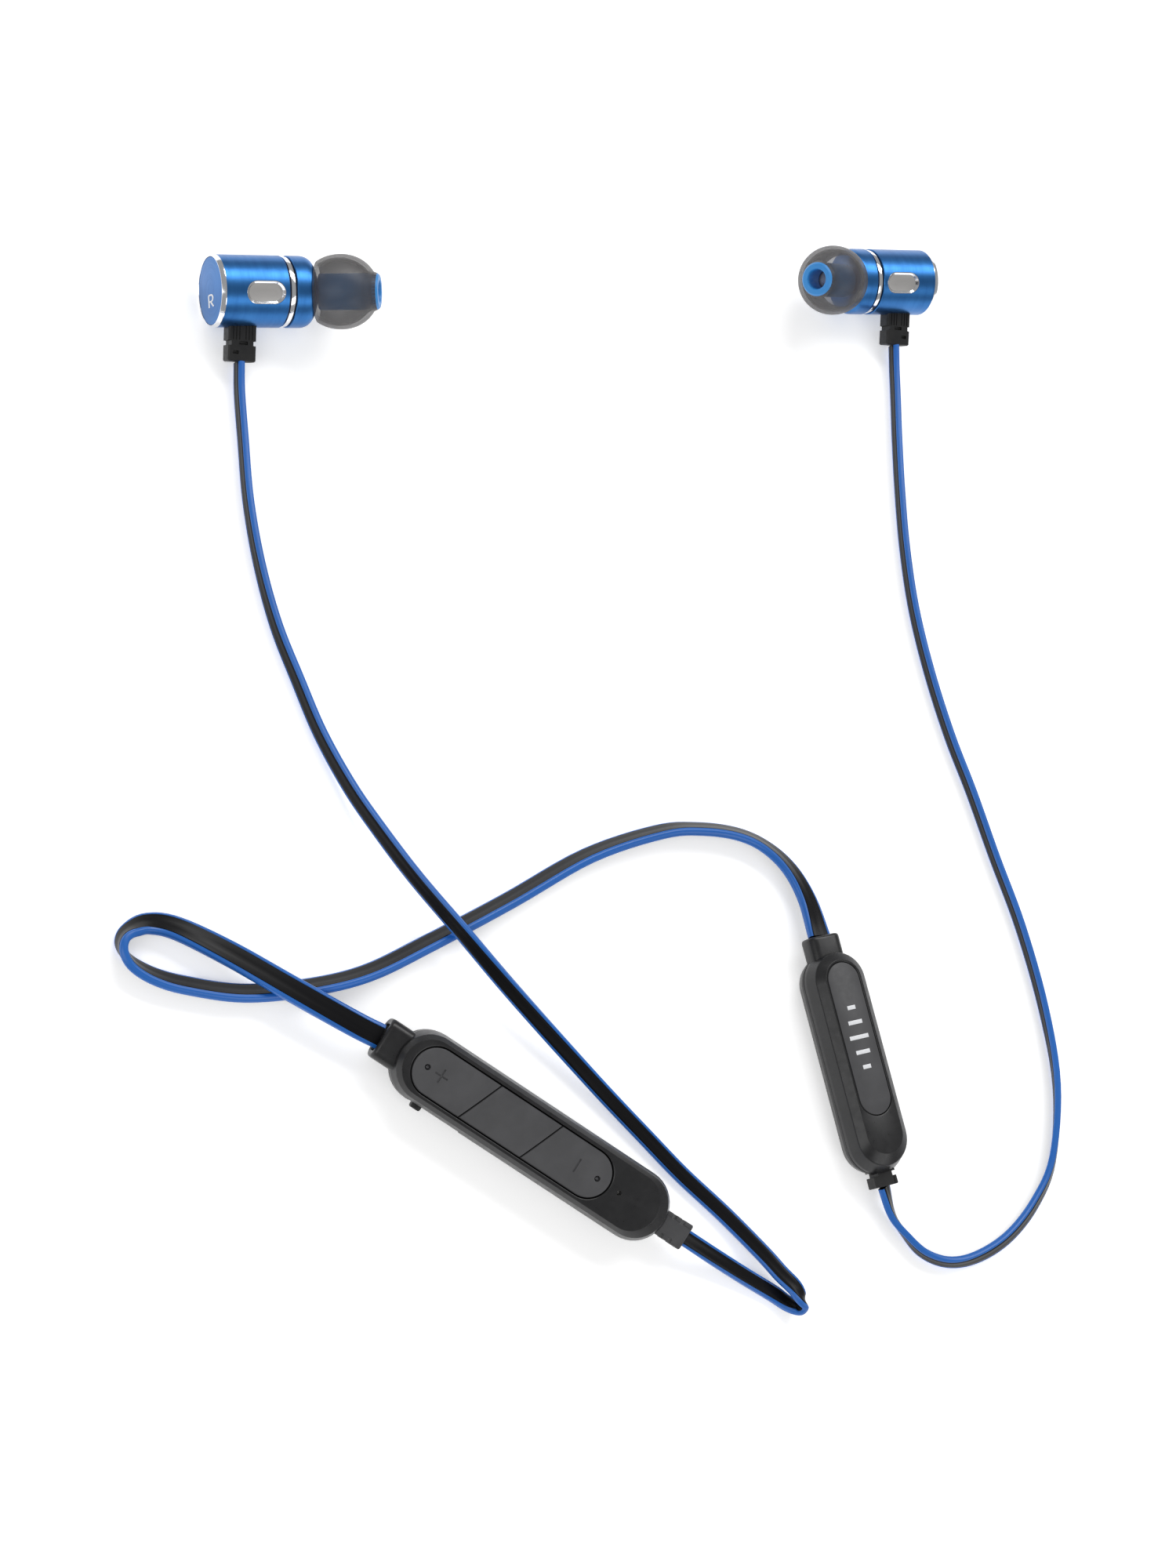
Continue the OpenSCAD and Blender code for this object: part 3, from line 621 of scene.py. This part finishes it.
def make_cables():
    pod_in = CONTROL_FRAME @ Vector((-POD[0] / 2 - COLLAR_OUT, 0, COLLAR_Z))
    pod_out = CONTROL_FRAME @ Vector((POD[0] / 2 + POD_RELIEF_OUT, 0, RELIEF_Z))
    cell_in = BATTERY_FRAME @ Vector((-CELL[0] / 2 - COLLAR_OUT, 0, COLLAR_Z))
    cell_out = BATTERY_FRAME @ Vector((CELL[0] / 2 + CELL_RELIEF_OUT, 0, RELIEF_Z))
    neck = ([through(pod_in, NECK_W, NECK_T, -POD_ROLL)] + NECK_ROUTE
            + [through(cell_in, NECK_W, NECK_T, 180)])
    right = ([through((*RIGHT_EXIT, LEAD_EXIT_Z), LEAD_W, LEAD_T, 88)] + RIGHT_ROUTE
             + [through(pod_out, LEAD_W, LEAD_T, -180 - POD_ROLL)])
    left = ([through((*LEFT_EXIT, LEAD_EXIT_Z), LEAD_W, LEAD_T, 98)] + LEFT_ROUTE
            + [through(cell_out, LEAD_W, LEAD_T, 28)])
    cable("neckband", neck, NECK_W, NECK_T, "neckband_cable")
    cable("lead_right", right, LEAD_W, LEAD_T, "right_lead")
    cable("lead_left", left, LEAD_W, LEAD_T, "left_lead")


# ---------------------------------------------------------------- pods


def shell_ring(size, crown, inset, z):
    """Outline of a pod at height z. Near the top the relief end stands further back."""
    l, w, h = size
    back = CROWN_END - crown
    rise = (z - h * 0.56) / (h * 0.44 - 1.1)
    extra = max(0, min(0.6, 0.6 * rise)) + max(0, (z - h + 1.1) / 1.1) * (back - 0.6)
    return stadium(l - 2 * inset - extra, w - 2 * inset, z, shift=-extra / 2)


def shell_top(name, size, crown, hole, at):
    """Upper shell with a round-ended hole in its flat top, as a closed wall."""
    h = size[2]
    hole_l, hole_w, hole_u, floor_z = hole
    side = eased([Vector((a, b, 0)) for a, b in
                  [(0.14, SEAM), (0, SEAM + 0.14), (0, h * 0.56), (0.5, h - 1.1), (crown, h),
                   (crown + 0.08, h)]], [0, 0, 1.4, 0.5, 0.3, 0])
    rings = [shell_ring(size, crown, p.x, p.y) for p in side]
    for grow, z in ((0.22, h), (0.1, h - 0.03), (0.03, h - 0.1), (0, h - 0.25), (0, floor_z)):
        rings.append(stadium(hole_l + 2 * grow, hole_w + 2 * grow, z, shift=hole_u))
    for inset, z in ((2.6, h - 1.6), (WALL, h - 2.9), (WALL, SEAM)):
        rings.append(shell_ring(size, crown, inset, z))
    return loft(name, rings, ["black_shell"], wrap=True, at=at)


def shell_bottom(name, size, at):
    """Lower shell with a flat underside, as a closed wall."""
    l, w, h = size
    outer = eased([Vector((a, b, 0)) for a, b in
                   [(0.14, SEAM), (0, SEAM - 0.14), (0, h * 0.36), (0.6, 0.9),
                    (UNDERSIDE_INSET, 0), (3, 0)]], [0, 0, 1.2, 0.9, 0.4, 0])
    rings = [stadium(l - 2 * p.x, w - 2 * p.x, p.y) for p in outer]
    inner = [(2.6, WALL), (1.5, 1.4), (WALL, 2.6), (WALL, SEAM - 0.02)]
    rings = [stadium(l - 2 * a, w - 2 * a, z) for a, z in inner] + rings
    return loft(name, rings, ["black_shell"], (True, True), at=at)


def cover_cutters(at):
    """Recess for the cover and the mouth of the charging socket."""
    y = -POD[1] / 2
    half_l, half_h = COVER_L / 2 + 0.5, COVER_H / 2 + 0.2
    return [block((COVER_U - half_l, y - 1, COVER_Z - half_h),
                  (COVER_U + half_l, y + 1.5, COVER_Z + half_h), at, ["black_shell"], ease=0.4),
            block((COVER_U - 3.8, y, COVER_Z - 1.45), (COVER_U + 3.8, y + 3, COVER_Z + 1.45),
                  at, ["black_shell"], ease=0.3)]


def make_control_pod():
    at = CONTROL_FRAME
    panel = (PANEL_L, PANEL_W, PANEL_U, PANEL_FLOOR)
    top = shell_top("control_shell_top", POD, POD_CROWN, panel, at)
    hole = rod([(MIC_U, 0, 4), (MIC_U, 0, 9)], MIC_R, at, ["black_shell"])
    keep(carve(top, [hole] + cover_cutters(at)), "headset", "black_shell", "control_pod_top")
    base = shell_bottom("control_shell_bottom", POD, at)
    keep(carve(base, cover_cutters(at)), "headset", "black_shell", "control_pod_bottom")
    make_collar("control_collar", at, POD[0] / 2, 7.2, 4.8, "control_pod_collar")
    make_relief("control_relief", at, POD[0] / 2, POD_RELIEF_OUT, "relief_grey",
                "control_pod_relief")
    make_keys(at)
    make_cover(at)


def make_collar(name, at, end, w, h, cad_node):
    """Smooth sleeve where the flat cable enters, with a lip around the cable."""
    x = -end - COLLAR_OUT
    stations = [(x + 0.9, 1.25), (x + 0.12, 1.1), (x, 0.8), (x, 0.5), (x + 0.1, 0.22),
                (x + 0.3, 0.06), (x + 0.6, 0), (-end + COLLAR_IN, 0)]
    piece = bar(name, stations, w, h, 1.6, ["black_shell"],
                at @ Matrix.Translation((0, 0, COLLAR_Z)))
    keep(piece, "headset", "black_shell", cad_node)


def make_relief(name, pod, end, out, slot, cad_node):
    """Slotted strain relief: a bar bitten at each side in turn, with a line along each edge."""
    at = pod @ Matrix.Translation((0, 0, RELIEF_Z))
    x0, x1, w, t = end - RELIEF_IN, end + out, RELIEF_W, RELIEF_T
    stations = [(x0, 0.1), (x1 - 0.15, 0), (x1, 0.15)]
    piece = bar(name, stations, w, t, 0.4, [slot], at)
    cutters = []
    for side in (-1, 1):
        for back in (1.9, 3.6):
            x = x1 - back - (0 if side > 0 else 0.4)
            y = side * w / 2
            cutters.append(block((x - 0.4, min(y - side * 0.9, y + side), -t),
                                 (x + 0.4, max(y - side * 0.9, y + side), t), at, [slot],
                                 ease=0.1))
        line = side * w / 2 - 0.75
        cutters.append(block((x0 - 1, line - 0.06, t / 2 - 0.12), (x1 + 1, line + 0.06, t), at,
                             [slot]))
    piece = carve(piece, cutters)
    keep(piece, "headset", slot, cad_node)


def key_span(u0, u1, y, inset):
    """Ends along X of a key at y: the round ends of the panel or its slanted cuts."""
    half = PANEL_W / 2 - KEY_GAP - inset
    reach = (PANEL_L - PANEL_W) / 2 + math.sqrt(max(half * half - y * y, 0))
    edge = inset * 1.08
    return (max(-reach, u0 + KEY_SLANT * y + edge), min(reach, u1 + KEY_SLANT * y - edge))


def key_cap(name, u0, u1, top, at, rows=24, columns=16):
    """Crowned key cap with eased edges, between slanted cuts at u0 and u1."""
    layers = [(0, CAP_BOTTOM), (0, top - 0.22), (0.03, top - 0.1), (0.1, top - 0.03), (0.22, top)]

    def grid(inset, z):
        half = PANEL_W / 2 - KEY_GAP - inset
        table = []
        for j in range(rows + 1):
            v = math.sin(math.pi * (j / rows - 0.5))
            a, b = key_span(u0, u1, half * v, inset)
            sink = 0.18 * v * v if z > 6.5 else 0
            table.append([(a + (b - a) * i / columns, half * v, z - sink)
                          for i in range(columns + 1)])
        return table

    def rim(table):
        return (table[0] + [row[-1] for row in table[1:]] + table[-1][-2::-1]
                + [row[0] for row in table[-2:0:-1]])
    rings = [rim(grid(inset, z)) for inset, z in layers]
    n = len(rings[0])
    points = [p for ring in rings for p in ring]
    faces = [tuple(reversed(range(n)))]
    for i in range(len(rings) - 1):
        faces += [(i * n + k, i * n + (k + 1) % n, (i + 1) * n + (k + 1) % n, (i + 1) * n + k)
                  for k in range(n)]
    start = len(points)
    points += [p for row in grid(*layers[-1]) for p in row]
    for j in range(rows):
        for i in range(columns):
            a = start + j * (columns + 1) + i
            faces.append((a, a + 1, a + columns + 2, a + columns + 1))
    obj = build(name, points, faces, ["key_plastic"], at=at)
    weld(obj)
    return obj


def weld(obj):
    """Joins points that lie in one place and turns all faces outwards."""
    work = bmesh.new()
    work.from_mesh(obj.data)
    bmesh.ops.remove_doubles(work, verts=work.verts, dist=1e-7)
    bmesh.ops.recalc_face_normals(work, faces=work.faces)
    work.to_mesh(obj.data)
    work.free()
    obj.data.set_sharp_from_angle(angle=math.radians(SHARP_ANGLE))


def make_keys(pod):
    """Three keys in the panel, with a lens in each end and a plus and a minus cut in."""
    at = pod @ Matrix.Translation((PANEL_U, 0, 0))
    top = POD[2]
    near, far = KEY_CUTS
    gap = KEY_GAP / 2
    spans = {"plus": (-PANEL_L, near - gap), "middle": (near + gap, far - gap),
             "minus": (far + gap, PANEL_L)}
    lens_at = {"plus": LENS_IN - PANEL_L / 2, "minus": PANEL_L / 2 - LENS_IN}
    mark_at = {"plus": -14.2, "minus": 12.8}
    for word, (u0, u1) in spans.items():
        piece = key_cap(f"{word}_cap", u0, u1, top, at)
        if word in lens_at:
            carve(piece, key_cutters(mark_at[word], lens_at[word], word == "plus", top, at))
            lens = turned(f"{word}_lens", [(0.001, 0.3), (0.2, 0.26), (0.34, 0.16), (0.4, 0),
                                           (0.001, 0)], ["driver_grey"],
                          at @ Matrix.Translation((lens_at[word], 0, top - 0.44))
                          @ Matrix.Rotation(-math.pi / 2, 4, "Y"), steps=20)
            keep(lens, f"{word}_key", "driver_grey")
        keep(piece, f"{word}_key", "key_plastic", f"key_{word}")


def key_cutters(mark, lens, is_plus, top, at):
    """Lens well and the strokes of the sign, as cutters."""
    slot = ["key_plastic"]
    cutters = [rod([(lens, 0, top - 0.45), (lens, 0, top + 1)], 0.5, at, slot),
               block((mark - 0.15, -1.2, top - 0.2), (mark + 0.15, 1.2, top + 1), at, slot)]
    if is_plus:
        cutters.append(block((mark - 1.2, -0.15, top - 0.2), (mark + 1.2, 0.15, top + 1), at, slot))
    return cutters


def make_cover(at):
    """Cover of the charging socket: eased plate, round hinge end and a nail lip."""
    y, half_t = -POD[1] / 2 + WALL, COVER_T / 2
    low, high = COVER_Z - COVER_H / 2, COVER_Z + COVER_H / 2
    hinge = COVER_U + COVER_L / 2 - half_t
    plate = block((COVER_U - COVER_L / 2, y - half_t, low), (hinge, y + half_t, high), at,
                  ["soft_black"], "cover_plate", 0.2)
    keep(plate, "socket_cover", "soft_black", "usb_cover")
    pin = rod([(hinge, y, low), (hinge, y, high)], half_t, at, ["soft_black"], "cover_hinge")
    keep(pin, "socket_cover", "soft_black")
    lip = block((COVER_U - 4.1, y - 1.6, COVER_Z - 0.8), (COVER_U - 2.3, y - 0.3, COVER_Z + 1),
                at, ["soft_black"], "cover_lip", 0.3)
    keep(lip, "socket_cover", "soft_black")


def make_battery_pod():
    at = BATTERY_FRAME
    recess = (INLAY_L + 0.2, INLAY_W + 0.2, INLAY_U, 7.2)
    top = shell_top("battery_shell_top", CELL, CELL_CROWN, recess, at)
    keep(top, "headset", "black_shell", "battery_pod_top")
    base = shell_bottom("battery_shell_bottom", CELL, at)
    keep(base, "headset", "black_shell", "battery_pod_bottom")
    h = CELL[2]
    rings = [stadium(INLAY_L - 2 * a, INLAY_W - 2 * a, z, shift=INLAY_U)
             for a, z in ((0, h - 0.6), (0, h - 0.15), (0.05, h - 0.05), (0.14, h))]
    inlay = loft("battery_inlay", rings, ["key_plastic"], (True, True), at=at)
    keep(inlay, "headset", "key_plastic", "battery_pod_inlay")
    make_collar("battery_collar", at, CELL[0] / 2, 6.4, 4.4, "battery_pod_collar")
    make_relief("battery_relief", at, CELL[0] / 2, CELL_RELIEF_OUT, "soft_black",
                "battery_pod_relief")
    make_mark(at, h)


def make_mark(at, h):
    """A plain printed mark of five bars, in place of any name."""
    for k, tall in enumerate((1.6, 2.8, 3.8, 2.8, 1.6)):
        x = (k - 2) * MARK_PITCH + MARK_U
        piece = block((x - 0.35, -tall / 2, h - 0.02), (x + 0.35, tall / 2, h + 0.004), at,
                      ["print_white"], f"mark_bar_{k + 1}", 0.01)
        keep(piece, "headset", "ceramic_white")


# ---------------------------------------------------------------- earbuds


def bud_frame(side):
    """Barrel along local +X from its rear cap. side is -1 for the right earbud, 1 for the left."""
    exit_at = RIGHT_EXIT if side < 0 else LEFT_EXIT
    turn = math.radians(EARBUD_TURN)
    x = exit_at[0] + math.cos(turn) * RELIEF_X * side
    y = exit_at[1] + RELIEF_REACH * math.cos(SLOPE) + math.sin(turn) * RELIEF_X * side
    at = Matrix.Translation((x, y, BARREL_R)) @ Matrix.Rotation(turn, 4, "Z")
    return at @ Matrix.Diagonal((-side, 1, 1, 1))


def nozzle_frame(bud):
    """Local +X along the nozzle."""
    return (bud @ Matrix.Translation((NOZZLE_X, 0, 0))
            @ Matrix.Rotation(math.radians(-NOZZLE_LEAN), 4, "Z")
            @ Matrix.Rotation(math.radians(-NOZZLE_BEND), 4, "Y"))


def relief_frame(bud, side):
    return (bud @ Matrix.Translation((RELIEF_X, 0, 0))
            @ Matrix.Rotation(math.radians(side * EARBUD_TURN - 90), 4, "Z")
            @ Matrix.Rotation(SLOPE, 4, "Y"))


def flat_points(points, radii, steps=5):
    return [(p.x, p.y) for p in eased([Vector((a, b, 0)) for a, b in points], radii, steps)]


def make_cap(word, at):
    """Rear cap and the trim ring around it: polished on its bevel, blue behind."""
    outline = flat_points([(0.01, 0.12), (5.58, 0.12), (5.64, 0.3), (5.64, CAP_T),
                           (0.01, CAP_T)], [0, 0.08, 0, 0, 0])
    cap = turned(f"{word}_cap_disc", outline, ["anodised_blue"], at)
    keep(cap, "headset", "anodised_blue", f"{word}_rear_cap")
    ring = flat_points([(CAP_R, CAP_T), (CAP_R, 0.1), (5.69, 0.05), (5.76, 0.05), (5.99, 0.75),
                        (BARREL_R, 0.85), (BARREL_R, CAP_T)], [0, 0.03, 0, 0.05, 0.04, 0, 0])
    edge = next(i for i, p in enumerate(ring) if p[1] > 0.78 and p[0] > 5.9)
    trim = turned(f"{word}_trim", ring, ["polished_metal", "anodised_blue"], at,
                  pick=lambda i, k: 1 if i >= edge else 0)
    keep(trim, "headset", "polished_metal", f"{word}_trim_ring")


def make_barrel(word, side, at):
    """Barrel with its window and the slot for the strain relief, and the polished band."""
    outline = [(BARREL_BORE, CAP_T), (BARREL_R, CAP_T), (BARREL_R, BARREL_L - 0.1),
               (BARREL_R - 0.1, BARREL_L), (BARREL_BORE, BARREL_L)]
    barrel = turned(f"{word}_barrel_tube", outline, ["anodised_blue"], at, steps=128)
    tilt = (at @ Matrix.Rotation(math.radians(WINDOW_TILT), 4, "X")
            @ Matrix.Translation((WINDOW_U, 0, 0)))
    window = loft("cut", [stadium(WINDOW_L, WINDOW_W, 5.2), stadium(WINDOW_L, WINDOW_W, 8)],
                  ["anodised_blue"], (True, True), at=tilt)
    slot = bar("cut", [(2, 0), (8, 0)], BUD_RELIEF_W + 0.1, BUD_RELIEF_T + 0.1, 0.4,
               ["anodised_blue"], relief_frame(at, side))
    carve(barrel, [window, slot])
    keep(barrel, "headset", "anodised_blue", f"{word}_barrel")
    make_window(word, tilt)
    groove_r, x0, x1 = 5.55, BARREL_L, FRONT_X
    groove = [(BARREL_BORE, x0), (groove_r, x0), (groove_r, x0 + 0.22), (5.82, x0 + 0.3),
              (5.86, x0 + 0.65), (5.82, x1 - 0.3), (groove_r, x1 - 0.22), (groove_r, x1),
              (BARREL_BORE, x1)]
    band = turned(f"{word}_band", groove, ["polished_metal", "driver_grey"], at,
                  pick=lambda i, k: 0 if 2 <= i <= 5 else 1)
    keep(band, "headset", "polished_metal", f"{word}_polished_band")


def make_window(word, at):
    """Satin inlay in a polished, inward-sloping rim that follows the barrel."""
    base, rim_w = 5.3, 0.5

    def flat(inset, z):
        return stadium(WINDOW_L - 2 * inset, WINDOW_W - 2 * inset, z)

    def on_barrel(inset, down):
        return [(x, y, math.sqrt(BARREL_R ** 2 - y * y) - down) for x, y, z in flat(inset, 0)]
    rim_rings = [flat(0, base), on_barrel(0, 0.06), on_barrel(0.05, 0.02),
                 on_barrel(0.15, 0.04), flat(rim_w, base + 0.12), flat(rim_w, base)]
    rim = loft(f"{word}_window_rim", rim_rings, ["polished_metal"], wrap=True, at=at)
    keep(rim, "headset", "polished_metal")
    plate_rings = [flat(rim_w, base), flat(rim_w, base + 0.16), flat(0.85, base + 0.2),
                   flat(1.85, base + 0.22)]
    plate = loft(f"{word}_window_plate", plate_rings, ["inlay_silver"], (True, True), at=at)
    keep(plate, "headset", "inlay_silver", f"{word}_window_inlay")


def make_front(word, at, nose):
    """Round-nosed front housing and the lipped nozzle in it."""
    end = FRONT_X + FRONT_L
    outline = flat_points([(BARREL_BORE, FRONT_X), (BARREL_R - 0.1, FRONT_X),
                           (BARREL_R, FRONT_X + 0.1), (BARREL_R, end), (0.01, end),
                           (0.01, FRONT_X + 3), (BARREL_BORE, FRONT_X)],
                          [0, 0, 0, 2.8, 0, 0, 0], 14)
    front = turned(f"{word}_front", outline, ["anodised_blue"], at)
    keep(front, "headset", "anodised_blue", f"{word}_front_housing")
    lip, mouth = NOZZLE_L - 1.4, NOZZLE_BORE + 0.3
    tube = flat_points([(NOZZLE_BORE, 0), (NOZZLE_NECK_R, 0), (NOZZLE_NECK_R, lip),
                        (NOZZLE_R, lip + 0.1), (NOZZLE_R, NOZZLE_L), (mouth, NOZZLE_L),
                        (mouth, NOZZLE_L - 0.3), (NOZZLE_BORE, NOZZLE_L - 0.3)],
                       [0, 0, 0, 0.05, 0.15, 0.05, 0, 0])
    nozzle = turned(f"{word}_nozzle_tube", tube, ["anodised_blue"], nose, steps=64)
    keep(nozzle, "headset", "anodised_blue")


def make_tip(word, nose):
    """Silicone dome on a blue core. Both slide off the nozzle together."""
    r, skin, rise = TIP_R, 0.55, 6.6
    z0 = TIP_START
    arc = [math.radians(a) for a in range(-35, 63, 4)]
    outer = [(r * math.cos(a) + (0.35 * math.sin(a) if a > 0 else 0),
              z0 + 4 + rise * math.sin(a)) for a in arc]
    inner = [((r - skin) * math.cos(a), z0 + 3.95 + (rise - skin) * math.sin(a))
             for a in reversed(arc[:-2])]
    lip = [(outer[0][0] - 0.28, outer[0][1] - 0.12)]
    outline = ([(CORE_R, z0 + TIP_L - 0.9)] + inner + lip + outer
               + [(CORE_R, z0 + TIP_L - 0.35)])
    dome = turned(f"{word}_tip_dome", outline, ["smoke_silicone"], nose, steps=96)
    keep(dome, f"{word}_ear_tip", "smoke_silicone", f"{word}_ear_tip_dome")
    core = flat_points([(TIP_BORE, 0.6), (CORE_R, 0.6), (CORE_R, TIP_L - 0.35), (2.75, TIP_L),
                        (1.9, TIP_L), (1.75, TIP_L - 0.4), (1.75, 6.6), (TIP_BORE, 6.6)],
                       [0, 0.1, 0.1, 0.2, 0.15, 0.1, 0, 0])
    piece = turned(f"{word}_tip_core", [(a, b + z0) for a, b in core], ["blue_silicone"], nose,
                   steps=64)
    keep(piece, f"{word}_ear_tip", "blue_silicone", f"{word}_ear_tip_core")


def make_bud_relief(word, side, bud):
    """Ribbed block, slotted neck and a windowed end block around the lead."""
    at = relief_frame(bud, side)
    w, t, x0, x1 = BUD_RELIEF_W, BUD_RELIEF_T, RELIEF_FOOT, RELIEF_REACH
    piece = bar(f"{word}_relief", [(x0, 0), (x1 - 0.2, 0), (x1, 0.2)], w, t, 0.4,
                ["soft_black"], at)
    cutters = []
    for s in (-1, 1):
        y = s * w / 2
        cutters.append(block((x1 - 3.45, min(y - s * 0.55, y + s), -t),
                             (x1 - 2.65, max(y - s * 0.55, y + s), t), at, ["soft_black"],
                             ease=0.12))
        for rib in (0.55, 1.1, 1.65):
            cutters.append(block((x0, s * rib - 0.09, t / 2 - 0.14), (x1 - 3.6, s * rib + 0.09, t),
                                 at, ["soft_black"]))
    for x, y, half in ((x1 - 3.05, 0.15, 0.75), (x1 - 1.5, -1.15, 0.5)):
        cutters.append(block((x - 0.3, y - half, t / 2 - 0.55), (x + 0.3, y + half, t), at,
                             ["soft_black"], ease=0.08))
    carve(piece, cutters)
    keep(piece, "headset", "soft_black", f"{word}_strain_relief")


def stroke(name, points, width, at):
    """A printed stroke on a plane: a thin ribbon along the points (x, y), z up."""
    line = [Vector((x, y, 0)) for x, y in points]
    down = Vector((0, 0, -0.03))
    rings = []
    for i, p in enumerate(line):
        d = (line[min(i + 1, len(line) - 1)] - line[max(i - 1, 0)]).normalized()
        side = Vector((-d.y, d.x, 0)) * width / 2
        rings.append([tuple(p - side + down), tuple(p + side + down), tuple(p + side),
                      tuple(p - side)])
    piece = loft(name, rings, ["print_white"], (True, True), at=at)
    keep(piece, "headset", "ceramic_white")


def make_letter(word, side, bud):
    """The plain ear letter printed on the rear cap."""
    broad = Matrix.Diagonal((-2.2 * side, 1, 1, 1))
    at = (bud @ Matrix.Translation((0.09, -1.65, -0.4))
          @ Matrix.Rotation(math.radians(-90), 4, "Y")
          @ Matrix.Rotation(math.radians(-14), 4, "Z") @ broad)
    h, w = 2.0, 0.95
    if side < 0:
        bowl = [(w * 0.5 + w * 0.45 * math.sin(a), h * 0.73 + h * 0.27 * math.cos(a))
                for a in (math.pi * k / 10 for k in range(11))]
        shapes = [[(0, 0), (0, h)], [(0, h)] + bowl + [(0, h * 0.46)],
                  [(w * 0.4, h * 0.46), (w, 0)]]
    else:
        shapes = [[(0, h), (0, 0)], [(-0.12, 0.12), (w, 0.12)]]
    for i, shape in enumerate(shapes):
        stroke(f"{word}_letter_{i + 1}", [(x - w / 2, y - h / 2) for x, y in shape], 0.26, at)


def make_earbud(word, side):
    bud = bud_frame(side)
    nose = nozzle_frame(bud)
    make_cap(word, bud)
    make_barrel(word, side, bud)
    make_front(word, bud, nose)
    make_tip(word, nose)
    make_bud_relief(word, side, bud)
    make_letter(word, side, bud)


# ---------------------------------------------------------------- the rest


def finish_cad_nodes():
    """Each CAD piece that stays gets the detailed material of its record slot."""
    for part in frame["record"]["subparts"]:
        obj = frame["nodes"][part["node"]]
        material = MATERIALS[part["material_slot"]]
        if not obj.material_slots:
            obj.data.materials.append(material)
        for slot in obj.material_slots:
            slot.material = material


def make_floor():
    """White table top, just below the object."""
    size, n = 4.0, 8
    points = [((i / n - 0.5) * size, (j / n - 0.5) * size, 0)
              for j in range(n + 1) for i in range(n + 1)]
    starts = [j * (n + 1) + i for j in range(n) for i in range(n)]
    faces = [(a, a + 1, a + n + 2, a + n + 1) for a in starts]
    mesh = bpy.data.meshes.new("floor")
    mesh.from_pydata(points, [], faces)
    f = Finish("floor_white", (0.96, 0.96, 0.96), 0.9)
    f.vary_colour(f.noise(3, detail=2), (0.95, 0.95, 0.95))
    f.set(Emission_Color=(1, 1, 1, 1), Emission_Strength=0.42)
    mesh.materials.append(f.material)
    floor = bpy.data.objects.new("floor", mesh)
    bpy.context.scene.collection.objects.link(floor)
    floor.location.z = -0.0002


make_camera()
MATERIALS = make_materials()
make_cables()
make_control_pod()
make_battery_pod()
make_earbud("right", -1)
make_earbud("left", 1)
finish_cad_nodes()
make_floor()
make_lights()
